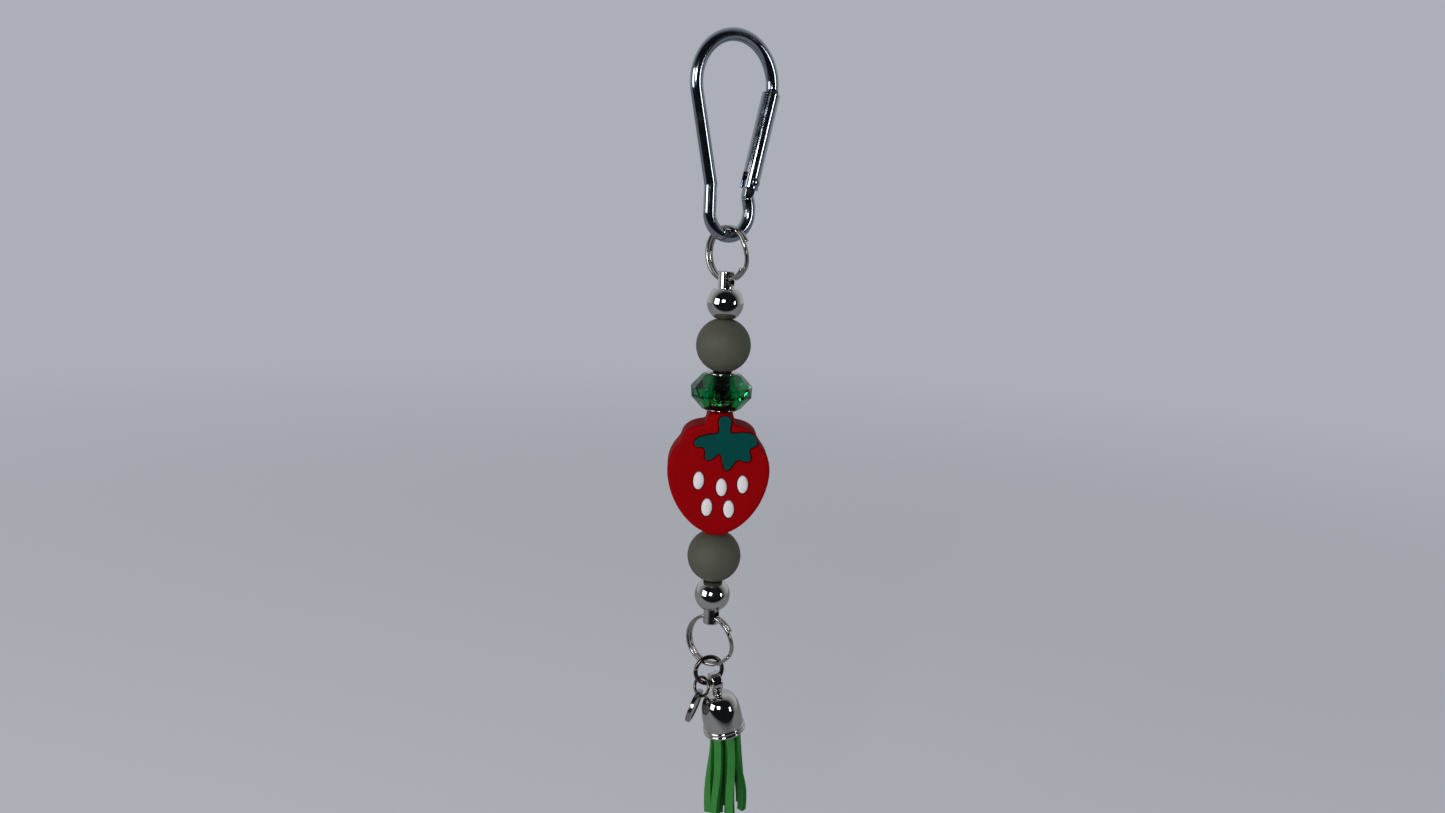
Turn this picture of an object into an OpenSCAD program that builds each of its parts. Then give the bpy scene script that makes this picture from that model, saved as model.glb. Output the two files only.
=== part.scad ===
// Beaded keychain: a spring-gate carabiner carries a bead bar, a suede tassel and a tag charm.
// The origin is the inside of the carabiner's crown, where it hangs. Lengths are in millimetres.

/* [Carabiner] */
// Diameter of the bent rod
rod_d = 2.8; // [2.5:0.1:3.2]
// Height of the carabiner over the rod
carabiner_h = 44.5; // [43:0.5:56]
// Width of the crown over the rod
crown_w = 22.8; // [21:0.2:27]
// Width of the lower loop over the rod
loop_w = 13.4; // [12.4:0.2:16]
// Height of the kink in the plain arm above the bottom of the loop
kink_h = 12.3; // [11:0.1:15]
// Radius of the bend at the kink
kink_r = 5; // [4:0.5:8]
// Radius of the bend that leads the rod from the loop in under the rivet
rivet_bend_r = 8; // [7:0.5:12]
// Angle that the crown runs on past its widest point, to the nose
nose_drop = 4; // [0:1:8]
// Turn of the carabiner about the vertical
carabiner_turn = 35; // [20:1:50]

/* [Gate] */
// Diameter of the gate
gate_d = 4; // [3.4:0.1:4.4]
// Height of the gate's rivet above the bottom of the loop
pivot_h = 13; // [12.2:0.1:14]
// Length of the forked tail below the rivet
gate_tail = 1.5; // [1.3:0.1:1.6]
// Length of the gap between the gate and the nose
nose_gap = 0.5; // [0.4:0.05:0.8]
// Depth of the slot that takes the nose's tongue
latch_depth = 2.6; // [2:0.1:4]
// Thickness of the flat tongues at the nose and at the rivet
tongue_t = 1.4; // [1.2:0.1:1.5]
// Gap on each side of a tongue in its slot
tongue_gap = 0.15; // [0.1:0.01:0.2]
// Radius of the tongue round the rivet
tongue_r = 1.35; // [1.25:0.05:1.4]
// Diameter of the rivet
rivet_d = 1.2; // [1:0.1:1.4]
// Diameter of the rivet's heads
rivet_head_d = 2; // [1.8:0.1:2.4]
// Thickness of the rivet's heads
rivet_head_t = 0.4; // [0.3:0.05:0.6]
// Diameter of the bore for the gate's spring
spring_bore_d = 1.9; // [1.8:0.05:2.1]
// Height of the top of that bore above the rivet
spring_bore_h = 12; // [10:0.5:14]
// Wire of the gate's spring
spring_wire_d = 0.25; // [0.2:0.05:0.3]
// Coils of the gate's spring
spring_coils = 7; // [5:1:8]
// Length of the plunger's body
plunger_h = 2.6; // [2:0.1:3.5]

/* [Split rings] */
// Outer diameter of both split rings
ring_od = 12.2; // [11.6:0.1:14]
// Wire of the split rings
ring_wire_d = 0.75; // [0.65:0.05:0.9]
// Gap between the two turns of a split ring
ring_turn_gap = 0.42; // [0.41:0.01:0.5]
// Turn of the upper ring about the vertical
upper_ring_turn = -47; // [-60:1:-35]
// Turn of the lower ring about the vertical
lower_ring_turn = -33; // [-45:1:-25]
// Clearance between linked rings
link_gap = 0.15; // [0.1:0.01:0.25]

/* [Bead bar] */
// Diameter of the ball on each end fitting
ball_d = 8; // [7:0.1:9]
// Height of the ball's centre over its seat on the bead
ball_seat = 3.3; // [3:0.1:3.4]
// Height from the ball's centre to the foot of its post
ball_neck = 3; // [2.6:0.1:3.3]
// Diameter of the post
post_d = 3.6; // [3.4:0.1:4.4]
// Height of the post
post_h = 3.9; // [3.7:0.1:5]
// Wall between the post's eye and its free end
eye_wall = 0.6; // [0.4:0.05:1]
// Clearance round the wire in the post's eye
eye_gap = 0.12; // [0.1:0.01:0.2]
// Diameter of the rod inside the beads
bar_d = 2; // [1.8:0.1:2.2]
// Depth of the rod in each ball
thread_depth = 4.5; // [3.5:0.1:5]
// Radial clearance between the rod and the beads
bead_play = 0.1; // [0.05:0.01:0.2]
// Gap between neighbours on the rod
bead_gap = 0.1; // [0.08:0.01:0.2]

/* [Beads] */
// Diameter of the round silicone beads
bead_d = 12; // [11:0.1:14]
// Height of the round beads between their flats
bead_h = 11.7; // [10.6:0.1:11.9]
// Diameter of the crystal over its girdle
crystal_d = 13.6; // [12.5:0.1:15]
// Diameter of the crystal's flat ends
crystal_top_d = 8.6; // [8.2:0.1:10]
// Height of the crystal's glass
crystal_h = 7.7; // [6.5:0.1:9]
// Height of the crystal's girdle of triangles
girdle_h = 2.2; // [1.6:0.1:3]
// Facets round the crystal
crystal_facets = 12; // [10:1:16]
// Diameter of the crystal's bore
crystal_bore_d = 5; // [4.6:0.1:5.4]
// Diameter of the grommets' flanges
grommet_d = 7.4; // [6.6:0.1:8]
// Wall of the grommets
grommet_wall = 0.35; // [0.25:0.05:0.5]

/* [Strawberry bead] */
// Width of the strawberry
berry_w = 22.6; // [20:0.2:26]
// Height of the strawberry
berry_h = 27.5; // [25:0.2:32]
// Thickness of the strawberry
berry_t = 9; // [8:0.2:11]
// Rounding of its edge
berry_edge = 1.6; // [1.2:0.1:2]
// Depth of the pockets for the leaf and the seeds
inlay_depth = 0.8; // [0.5:0.1:1]
// Height of the leaf and the seeds above the face
inlay_rise = 0.35; // [0.2:0.05:0.5]
// Clearance round the leaf and the seeds in their pockets
inlay_gap = 0.03; // [0.02:0.01:0.08]
// Length of a seed
seed_l = 4.1; // [3:0.1:5]
// Width of a seed
seed_w = 2.5; // [1.8:0.1:3]

/* [Jump ring and charm] */
// Outer diameter of the jump ring
jump_od = 7.4; // [7:0.1:8.5]
// Wire of the jump ring
jump_wire_d = 1; // [0.8:0.05:1.1]
// Turn of the jump ring about the vertical
jump_turn = 18; // [8:1:26]
// Angle of the slit in the jump ring and the charm's ring
ring_slit = 8; // [4:1:12]
// Outer diameter of the charm's ring
charm_ring_od = 5; // [4.8:0.1:6]
// Wire of the charm's ring
charm_wire_d = 0.7; // [0.6:0.05:0.8]
// Turn of the charm's ring about the vertical
charm_ring_turn = -48; // [-54:1:-42]
// Lean of the charm's ring off the tassel
charm_ring_lean = 20; // [16:1:24]
// Place of the charm's ring on the jump ring, left of its lowest point
charm_at = 22; // [19:1:25]
// Diameter of the tag charm
charm_d = 8; // [7:0.2:9]
// Thickness of the tag charm
charm_t = 1; // [0.8:0.1:1.2]
// Height of the charm's raised rim
charm_rim_h = 0.2; // [0.1:0.05:0.3]
// Width of the charm's raised rim
charm_rim_w = 0.6; // [0.4:0.05:0.9]
// Diameter of the charm's hole
charm_hole_d = 1.7; // [1.6:0.1:2]
// Wall between that hole and the charm's edge
charm_hole_wall = 0.55; // [0.4:0.05:0.7]
// Turn of the charm about the vertical
charm_turn = 73; // [68:1:78]
// Lean of the charm off the tassel's cap
charm_lean = 17; // [14:1:20]

/* [Tassel] */
// Place of the tassel's eye on the jump ring, right of its lowest point
tassel_at = 33; // [30:1:36]
// Tilt of the tassel to the right
tassel_tilt = 13; // [10:1:16]
// Outer diameter of the eye
tassel_eye_d = 4.4; // [4.2:0.1:5]
// Hole of the eye
tassel_hole_d = 2.1; // [2:0.05:2.2]
// Flare of that hole towards its mouths
tassel_flare = 0.5; // [0.4:0.05:0.6]
// Thickness of the eye
tassel_eye_t = 2.3; // [2:0.1:2.5]
// Length of the neck between the eye and the cap
tassel_neck_h = 0.9; // [0.7:0.1:1.5]
// Diameter of the neck
tassel_neck_d = 2.3; // [2:0.1:2.8]
// Height of the cap
cap_h = 9.8; // [8.5:0.1:11]
// Diameter of the cap's dome
dome_d = 9.3; // [8.6:0.1:9.6]
// Power of the dome's curve, where 2 is round and more is squarer
dome_power = 3.2; // [2:0.1:4]
// Diameter of the cap over its rims
cap_d = 9.8; // [9.6:0.1:11]
// Height of each of the cap's two rims
rim_h = 0.9; // [0.7:0.05:1.2]
// Wall of the cap
cap_wall = 0.55; // [0.4:0.05:0.6]
// Width of a suede strip
strip_w = 2; // [1.7:0.1:2.1]
// Thickness of a suede strip
strip_t = 1.3; // [1:0.05:1.35]
// Length of the longest strips below the cap
strip_l = 20.8; // [18:0.1:40]
// Length of the strips inside the cap
strip_root = 4.2; // [3:0.1:4.5]
// Difference between long and short strips
strip_uneven = 1.4; // [0:0.1:2.5]
// Strips in the outer row
outer_strips = 7; // [5:1:7]
// Strips in the inner row
inner_strips = 3; // [2:1:3]
// Spread of the outer row at its lower end
strip_splay = 1.1; // [0.6:0.1:2]
// Twist of the outer strips
strip_spin = 40; // [0:5:45]
// Sideways wave of the strips
strip_wave = 0.3; // [0:0.05:0.4]
// Length below the cap over which the strips bend from its tilt to the vertical
strip_bend = 2.5; // [1.5:0.1:5]

/* [Hidden] */
$fn = 64;
// Length by which joined shapes run into each other, and cuts run past a face
bite = 0.2;
// Clearance of parts that are pressed or riveted together
press_gap = 0.01;
// Clearance of a pin in its hole
pin_gap = 0.05;

// Sagitta of a circle of radius r at x from its top, a unit vector, and a step that eases in and out
function bow(r, x) = r - sqrt(r * r - x * x);
function unit(v) = v / norm(v);
function ease(x) = let (c = max(0, min(1, x))) c * c * (3 - 2 * c);
function join(lists) = [for (a = lists) for (b = a) b];
function tangent(path, i) = unit(path[min(i + 1, len(path) - 1)] - path[max(i - 1, 0)]);

// Rings of a round tube along a path that never runs straight up
wire_sides = 6;
function tube_rings(path, d) = [
    for (i = [0:len(path) - 1])
        let (t = tangent(path, i), a = unit(cross(t, [0, 0, 1])), b = cross(a, t))
            [for (k = [1:wire_sides])
                let (turn = -360 * k / wire_sides) path[i] + d / 2 * (cos(turn) * a + sin(turn) * b)]];

// Least clear gap between turns of a tube, over points at least apart steps from each other
function self_gap(path, d, apart) =
    min([for (i = [0:len(path) - 1]) for (j = [i + apart:1:len(path) - 1]) norm(path[i] - path[j])]) - d;

// Carabiner's plane: x to the gate, y up
crown_r = (crown_w - rod_d) / 2;
loop_r = (loop_w - rod_d) / 2;
bottom_y = rod_d - carabiner_h;
crown_c = [0, rod_d / 2 - crown_r];
loop_c = [0, bottom_y + rod_d / 2 + loop_r];
kink = [-loop_r, bottom_y + kink_h];
kink_angle = 360 + atan2(kink.y - crown_c.y, kink.x - crown_c.x);
arm_angle = kink_angle - acos(crown_r / norm(kink - crown_c));
arm_top = crown_c + crown_r * [cos(arm_angle), sin(arm_angle)];
arm_lean = atan2(kink.x - arm_top.x, arm_top.y - kink.y);
kink_c = kink - [kink_r, kink_r * tan(arm_lean / 2)];
nose = crown_c + crown_r * [cos(nose_drop), -sin(nose_drop)];
pivot = [loop_r, bottom_y + pivot_h];
gate_lean = atan2(nose.x - pivot.x, nose.y - pivot.y);
gate_l = norm(nose - pivot) - nose_gap;
slot_w = tongue_t + 2 * tongue_gap;
// Room past the ends of the tongues, and below the gate's tail
slot_room = 0.5;
latch_room = 0.3;
tail_room = 0.55;
slot_top = tongue_r + slot_room;
shoulder_y = norm([gate_tail, gate_d / 2]) + tail_room;
// End of the rod under the rivet, where the tongue's faces meet the round of the rod
rivet_bend_c = [loop_r - rivet_bend_r, loop_c.y];
rivet_bend = asin((pivot.y - shoulder_y - loop_c.y) / rivet_bend_r);
rod_end_side = [cos(rivet_bend), sin(rivet_bend)];
rod_end = rivet_bend_c + rivet_bend_r * rod_end_side - bite * [-rod_end_side.y, rod_end_side.x];
rod_end_half = sqrt(pow(rod_d / 2, 2) - pow(tongue_t / 2, 2)) - press_gap;
tongue_side = let (d = unit(pivot - rod_end)) tongue_r * [d.y, -d.x];
// Angle by which the bend under the rivet starts inside the loop
bend_lap = 2;
// Wall that is left behind the nose's tongue, and where the slot in front of it starts
latch_wall = 1;
latch_stop = latch_wall - gate_d / 2;
// Height of the flat on the rivet's tongue, which lifts the plunger as the gate swings
cam_cut = 0.25;
cam_h = tongue_r - cam_cut;
plunger_play = 0.1;
plunger_d = spring_bore_d - 2 * plunger_play;
plunger_tip_d = 1;
plunger_foot = slot_top + bite;
plunger_top = plunger_foot + plunger_h;
spring_r = (plunger_d - spring_wire_d) / 2 - plunger_play;
spring_rings = 8;
spring_z = [plunger_top + spring_wire_d / 2 + pin_gap, spring_bore_h - spring_wire_d / 2 - pin_gap];
spring_path = [
    for (i = [0:spring_coils * spring_rings])
        let (a = 360 * i / spring_rings, t = i / (spring_coils * spring_rings))
            [spring_r * cos(a), spring_r * sin(a), spring_z[0] + (spring_z[1] - spring_z[0]) * t]];

// Split rings: two flat turns with a jog between them, and ends that stop short of the jog
ring_r = (ring_od - ring_wire_d) / 2;
ring_pitch = ring_wire_d + ring_turn_gap;
coil_w = ring_pitch + ring_wire_d;
ring_jog = 60;
ring_end = 30;
ring_steps = 44;
// Steps between points that count as two turns of a ring, or two coils of the spring
ring_apart = 16;
coil_apart = 6;
function ring_point(t) =
    [ring_r * cos(t), ring_r * sin(t), ring_pitch * (ease((t - 360 + ring_jog / 2) / ring_jog) - 0.5)];
ring_path = [for (i = [0:ring_steps]) ring_point(ring_end + i * (720 - 2 * ring_end) / ring_steps)];
echo(least_gap_of_split_ring = self_gap(ring_path, ring_wire_d, ring_apart));
echo(least_gap_of_gate_spring = self_gap(spring_path, spring_wire_d, coil_apart));

// Heights down the chain
post_bow = bow(ring_r, post_d / 2);
eye_r = norm([coil_w / 2, (ring_wire_d + post_bow) / 2]) + eye_gap;
eye_edge = eye_r + eye_wall;
eye_to_ball = post_h - eye_edge + ball_neck;
eye_to_seat = eye_to_ball + ball_seat;
loop_inside_z = bottom_y + rod_d;
upper_ring_z = loop_inside_z + bow(loop_r - rod_d / 2, coil_w / 2) + link_gap + ring_wire_d / 2 - ring_r;
upper_eye_z = upper_ring_z - ring_r + post_bow / 2;
upper_seat_z = upper_eye_z - eye_to_seat;
upper_bead_z = upper_seat_z - bead_gap - bead_h / 2;
crystal_z = upper_bead_z - bead_h / 2 - bead_gap - grommet_wall - crystal_h / 2;
berry_top_z = crystal_z - crystal_h / 2 - grommet_wall - bead_gap;
lower_bead_z = berry_top_z - berry_h - bead_gap - bead_h / 2;
lower_seat_z = lower_bead_z - bead_h / 2 - bead_gap;
lower_eye_z = lower_seat_z - eye_to_seat;
lower_ring_z = lower_eye_z - post_bow / 2 - ring_r;
bead_bore_d = bar_d + 2 * bead_play;

// Jump ring, and what hangs on it
jump_r = (jump_od - jump_wire_d) / 2;
jump_inside_r = jump_r - jump_wire_d / 2;
coil_in_jump = coil_w / 2 / sin(jump_turn - lower_ring_turn);
jump_top_z = lower_ring_z - ring_r + ring_wire_d / 2 + bow(jump_inside_r, coil_in_jump) + 2 * link_gap
    + jump_wire_d / 2;
jump_z = jump_top_z - jump_r;
function on_jump(angle) = [
    jump_r * sin(angle) * cos(jump_turn), jump_r * sin(angle) * sin(jump_turn), jump_z - jump_r * cos(angle)];
tassel_drop = link_gap;
tassel_p = on_jump(tassel_at) - [0, 0, tassel_drop];
charm_ring_r = (charm_ring_od - charm_wire_d) / 2;
charm_ring_rise = (jump_wire_d + charm_wire_d) / 2 + 2 * link_gap;
function leaning(angle) = [-sin(angle), 0, -cos(angle)];
charm_ring_p = on_jump(-charm_at) + (charm_ring_r - charm_ring_rise) * leaning(charm_ring_lean);
charm_pin = charm_ring_p + charm_ring_r * leaning(charm_ring_lean);
charm_p = charm_pin + ((charm_hole_d - charm_wire_d) / 2 - 2 * link_gap) * leaning(charm_lean);
jump_slit_at = 170;
charm_slit_at = 0;

// Strawberry: its face in x and y, with y down from the top of its tab to its foot
berry_tab_w = 6;
berry_tab_h = 2.5;
berry_tab_round = 1.2;
berry_foot_w = 4.4;
shoulder_w = 16.8;
shoulder_h = 3.6;
berry_rows = 12;
berry_waist = 0.47;
crown_share = 0.72;
// Half width of the fruit at a share s of the height from its widest line, with two powers for its curve
below_waist = [1.8, 0.55];
above_waist = [2.2, 0.5];
function fruit(s, powers) = berry_w / 2 * pow(1 - pow(s, powers[0]), powers[1]);
// One edge of the face from the top to the foot: tab, leafy shoulder, fruit
berry_edge_line = concat(
    [for (a = [0:30:90]) [
        berry_tab_w / 2 - berry_tab_round * (1 - sin(a)), berry_tab_round * (1 - cos(a))]],
    [for (a = [0:15:90]) [
        berry_tab_w / 2 + (shoulder_w - berry_tab_w) / 2 * sin(a), berry_tab_h + shoulder_h * (1 - cos(a))]],
    [for (s = [0.6, 0.4, 0.2]) [fruit(s, above_waist), berry_h * berry_waist * (1 - s * crown_share)]],
    [for (i = [0:berry_rows]) let (s = sin(90 * i / berry_rows))
        [max(berry_foot_w / 2, fruit(s, below_waist)), berry_h * (berry_waist + (1 - berry_waist) * s)]]);
berry_other_edge = [for (i = [len(berry_edge_line) - 1:-1:0]) [-berry_edge_line[i].x, berry_edge_line[i].y]];
berry_loop = concat(berry_edge_line, berry_other_edge);
// The edge rounds in towards a line down the middle of the fruit
spine_top = 4;
spine_foot = 7;
function berry_spine(p) = [0, min(max(p.y, spine_top), berry_h - spine_foot)];
function berry_ring(level, side) = [
    for (p = berry_loop)
        let (q = p - level[0] * unit(p - berry_spine(p))) [q.x, q.y, side * (berry_t / 2 - level[1])]];
// Inset and depth below the face of each ring; the last one lies outside the face, where a slab cuts it
berry_levels = concat(
    [for (a = [0:30:60]) berry_edge * [1 - cos(a), 1 - sin(a)]],
    [berry_edge * [1 + cos(60), sin(60) - 1]]);
berry_rings = concat(
    [for (i = [len(berry_levels) - 1:-1:0]) berry_ring(berry_levels[i], -1)],
    [for (level = berry_levels) berry_ring(level, 1)]);
// An outline with each corner cut back along both its edges and rounded, and one moved outwards
edge_share = 0.45;
function rounded(corners, cut, steps) = [
    for (i = [0:len(corners) - 1])
        let (n = len(corners), p = corners[i], a = corners[(i + n - 1) % n] - p, b = corners[(i + 1) % n] - p,
             q = p + a * min(edge_share, cut / norm(a)), r = p + b * min(edge_share, cut / norm(b)))
            for (k = [0:steps]) let (t = k / steps) (1 - t) * (1 - t) * q + 2 * t * (1 - t) * p + t * t * r];
function grown(loop, by) = [
    for (i = [0:len(loop) - 1])
        let (n = len(loop), t = unit(loop[(i + 1) % n] - loop[(i + n - 1) % n])) loop[i] + by * [t.y, -t.x]];
// The leaf's five points and its stem, as shares of the width to one side and of the height down
leaf_corners = [
    [0, 0.015], [0.09, 0.015], [0.115, 0.06], [0.09, 0.155], [0.23, 0.138], [0.315, 0.148], [0.36, 0.18],
    [0.38, 0.245], [0.283, 0.278], [0.32, 0.355], [0.28, 0.395], [0.176, 0.362], [0.11, 0.455],
    [0.06, 0.465], [0.03, 0.4], [0.007, 0.31], [-0.06, 0.375], [-0.145, 0.385], [-0.141, 0.275],
    [-0.235, 0.28], [-0.26, 0.23], [-0.2, 0.185], [-0.1, 0.165], [-0.005, 0.155], [-0.03, 0.06]];
leaf_cut = 0.9;
leaf_steps = 3;
leaf_loop = rounded([for (p = leaf_corners) [p.x * berry_w, p.y * berry_h]], leaf_cut, leaf_steps);
inlay_h = inlay_rise + inlay_depth;
inlay_chamfer = 0.2;
seed_sides = 24;
seed_places = [[-0.19, 0.55], [0.035, 0.6], [0.24, 0.57], [-0.1, 0.768], [0.115, 0.777]];
seed_tilt = 2;

// Tassel: z from the eye's centre, with the cap's mouth at cap_mouth_z
cap_top_z = -tassel_eye_d / 2 - tassel_neck_h;
cap_mouth_z = cap_top_z - cap_h;
dome_z = cap_mouth_z + 2 * rim_h;
dome_step = 7.5;
// Half of the dome's profile, drawn in by a wall
function dome_curve(wall) = [
    for (a = [0:dome_step:90])
        [(dome_d / 2 - wall) * pow(cos(a), 2 / dome_power),
         dome_z + (cap_top_z - dome_z - wall) * pow(sin(a), 2 / dome_power)]];
cap_bore_r = cap_d / 2 - rim_h / 2 - cap_wall;
// Gaps round the strips in the cap
strip_gap = 0.06;
wall_gap = 0.1;
outer_row_r = sqrt(pow(cap_bore_r - wall_gap, 2) - pow(strip_w / 2, 2)) - strip_t / 2;
inner_row_r = strip_w / 2 / tan(180 / inner_strips) + strip_t / 2 + strip_gap;
outer_first = 12;
inner_first = 50;
strip_rings = 9;
// How the splay grows down a strip, the turn of its wave, and the share of its length where its twist starts
splay_power = 1.5;
wave_turn = 300;
spin_start = 0.23;
// Uneven series of values from -1 to 1, for lengths, waves and twists
function uneven(k, step, start) = sin(step * k + start);
// Sideways drift, in the tilted cap's frame, of a strip that hangs plumb at a depth below the cap's mouth
function drift(depth) =
    tan(tassel_tilt) * (depth < strip_bend ? pow(depth, 2) / strip_bend / 2 : depth - strip_bend / 2);
// Middle of a strip at a share s of its length, in row radius r at angle a
function strip_point(r, a, s, l, splay, side) =
    let (depth = s * (l + strip_root) - strip_root,
         free = max(0, depth) / l,
         out = r + splay * pow(free, splay_power),
         shift = side * free * sin(wave_turn * free))
        [out * cos(a) - shift * sin(a) - drift(free * l), out * sin(a) + shift * cos(a), cap_mouth_z - depth];
function strip_ring(r, a, s, l, splay, side, spin) =
    let (p = strip_point(r, a, s, l, splay, side), b = a + spin * ease((s - spin_start) / (1 - spin_start)),
         u = [cos(b), sin(b), 0] * strip_t / 2, v = [-sin(b), cos(b), 0] * strip_w / 2)
        [p - u - v, p - u + v, p + u + v, p + u - v];

// Places and turns
module in_carabiner() {
    rotate([0, 0, carabiner_turn]) rotate([90, 0, 0]) children();
}

module in_gate() {
    in_carabiner() translate(pivot) rotate(-gate_lean) children();
}

module at_height(z, turn = 0) {
    translate([0, 0, z]) rotate([0, 0, turn]) children();
}

module on_edge() {
    rotate([90, 0, 0]) children();
}

module at_tassel() {
    translate(tassel_p) rotate([0, 0, jump_turn]) rotate([0, -tassel_tilt, 0]) children();
}

module at_charm() {
    translate(charm_p) rotate([0, charm_lean, 0]) rotate([0, 0, charm_turn]) children();
}

// The bar's frame turned so that y on the strawberry's face runs down from its tab
module on_berry_face(back = 0) {
    translate([0, 0, berry_top_z]) rotate([0, 0, 180 * back]) rotate([-90, 0, 0]) children();
}

// Shared shapes
// A straight of the bent rod, a hair thinner than the bends that it runs into at both ends
module rod_line(p, q) {
    translate(p) rotate(atan2(q.y - p.y, q.x - p.x)) rotate([0, 90, 0]) translate([0, 0, -bite])
        cylinder(d = rod_d - 2 * press_gap, h = norm(q - p) + 2 * bite);
}

module rod_arc(centre, r, from, to, d = rod_d) {
    translate(centre) rotate(from) rotate_extrude(angle = to - from) translate([r, 0]) circle(d = d);
}

module skin(rings) {
    n = len(rings[0]);
    m = len(rings);
    sides = [
        for (i = [0:m - 2]) for (j = [0:n - 1])
            each [[i * n + j, (i + 1) * n + j, i * n + (j + 1) % n],
                  [i * n + (j + 1) % n, (i + 1) * n + j, (i + 1) * n + (j + 1) % n]]];
    first = [for (j = [0:n - 1]) j];
    last = [for (j = [n - 1:-1:0]) (m - 1) * n + j];
    polyhedron(points = join(rings), faces = concat(sides, [first, last]));
}

module slit_ring(r, wire_d, slit_at) {
    rotate(slit_at + ring_slit / 2) rotate_extrude(angle = 360 - ring_slit)
        translate([r, 0]) circle(d = wire_d);
}

module split_ring() {
    skin(tube_rings(ring_path, ring_wire_d));
}

// Ball on a post with a cross eye, with the eye's centre at the origin and the ball below it
module end_ball(turn) {
    difference() {
        union() {
            translate([0, 0, -eye_to_ball]) intersection() {
                sphere(d = ball_d);
                translate([0, 0, -ball_seat]) cylinder(d = ball_d + bite, h = ball_seat + ball_neck);
            }
            translate([0, 0, -eye_to_ball]) cylinder(d = post_d, h = eye_to_ball + eye_edge);
        }
        rotate([0, 0, turn]) rotate([0, 90, 0]) cylinder(r = eye_r, h = post_d + 2 * bite, center = true);
        translate([0, 0, -eye_to_seat - bite])
            cylinder(r = bar_d / 2 + press_gap, h = thread_depth + bite + pin_gap);
    }
}

module round_bead() {
    difference() {
        intersection() {
            sphere(d = bead_d);
            cube([bead_d + bite, bead_d + bite, bead_h], center = true);
        }
        cylinder(d = bead_bore_d, h = bead_d, center = true);
    }
}

module grommet() {
    difference() {
        union() {
            cylinder(d = grommet_d, h = grommet_wall);
            translate([0, 0, -crystal_h / 3])
                cylinder(r = crystal_bore_d / 2 - press_gap, h = crystal_h / 3 + bite);
        }
        cylinder(d = crystal_bore_d - 2 * grommet_wall, h = 2 * crystal_h, center = true);
    }
}

module leaf_outline(grow = 0) {
    polygon(grown(leaf_loop, grow));
}

module seed_outline(grow = 0) {
    polygon([for (k = [1:seed_sides])
        let (a = 360 * k / seed_sides) [(seed_w / 2 + grow) * cos(a), (seed_l / 2 + grow) * sin(a)]]);
}

module at_seeds() {
    for (p = seed_places)
        translate([p.x * berry_w, p.y * berry_h]) rotate(-seed_tilt * sign(p.x)) children();
}

module berry_leaf(back) {
    on_berry_face(back) translate([0, 0, -berry_t / 2 - inlay_rise]) {
        linear_extrude(inlay_chamfer) leaf_outline(-inlay_chamfer);
        translate([0, 0, inlay_chamfer]) linear_extrude(inlay_h - inlay_chamfer) leaf_outline();
    }
}

module berry_seeds(back) {
    on_berry_face(back) at_seeds() translate([0, 0, -berry_t / 2 - inlay_rise]) {
        linear_extrude(inlay_chamfer) seed_outline(-inlay_chamfer);
        translate([0, 0, inlay_chamfer]) linear_extrude(inlay_h - inlay_chamfer) seed_outline();
    }
}

module suede_row(count, r, splay, first_angle, spin, wave) {
    for (k = [0:count - 1]) {
        a = first_angle + 360 * k / count;
        l = strip_l - strip_uneven * (1 + uneven(k, 140, 40)) / 2;
        side = wave * uneven(k, 97, 25);
        twist = spin * uneven(k, 123, 60);
        skin([for (i = [0:strip_rings - 1])
            strip_ring(r, a, i / (strip_rings - 1), l, splay, side, twist)]);
    }
}

// Sub-parts
module carabiner_frame() {
    color("silver") {
        in_carabiner() difference() {
            union() {
                rod_arc(crown_c, crown_r, -nose_drop, arm_angle);
                rod_line(arm_top, kink_c + kink_r * [cos(arm_lean), sin(arm_lean)]);
                rod_arc(kink_c, kink_r, 0, arm_lean);
                rod_line([-loop_r, kink_c.y], [-loop_r, loop_c.y]);
                rod_arc(loop_c, loop_r, 180, 360);
                rod_arc(rivet_bend_c, rivet_bend_r, -bend_lap, rivet_bend, rod_d - 2 * press_gap);
                translate([0, 0, -tongue_t / 2]) linear_extrude(tongue_t) union() {
                    translate(pivot) circle(r = tongue_r);
                    polygon([
                        rod_end - rod_end_half * rod_end_side, rod_end + rod_end_half * rod_end_side,
                        pivot + tongue_side, pivot - tongue_side]);
                }
                translate(pivot) rotate(-gate_lean)
                    translate([latch_stop + tongue_gap, gate_l - latch_depth + latch_room, -tongue_t / 2])
                        cube([rod_d / 2 - latch_stop - tongue_gap, latch_depth + nose_gap, tongue_t]);
            }
            translate(pivot) cylinder(r = rivet_d / 2 + pin_gap, h = gate_d, center = true);
            translate(pivot) rotate(-gate_lean) translate([-gate_d / 2, cam_h, -gate_d / 2])
                cube([gate_d, gate_d, gate_d]);
        }
    }
}

module carabiner_gate() {
    color("gainsboro") in_gate() difference() {
        rotate([-90, 0, 0]) translate([0, 0, -gate_tail]) cylinder(d = gate_d, h = gate_l + gate_tail);
        translate([-gate_d, -gate_tail - bite, -slot_w / 2])
            cube([2 * gate_d, gate_tail + bite + slot_top, slot_w]);
        translate([latch_stop, gate_l - latch_depth, -slot_w / 2])
            cube([gate_d, latch_depth + bite, slot_w]);
        rotate([-90, 0, 0]) cylinder(d = spring_bore_d, h = spring_bore_h);
        cylinder(r = rivet_d / 2 + press_gap, h = 2 * gate_d, center = true);
    }
}

module gate_rivet() {
    color("silver") in_gate() {
        cylinder(d = rivet_d, h = gate_d + rivet_head_t, center = true);
        for (side = [0, 1]) mirror([0, 0, side]) translate([0, 0, gate_d / 2 + press_gap]) {
            cylinder(d = rivet_head_d, h = rivet_head_t / 2);
            translate([0, 0, rivet_head_t / 2])
                cylinder(d1 = rivet_head_d, d2 = rivet_d, h = rivet_head_t / 2);
        }
    }
}

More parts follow.
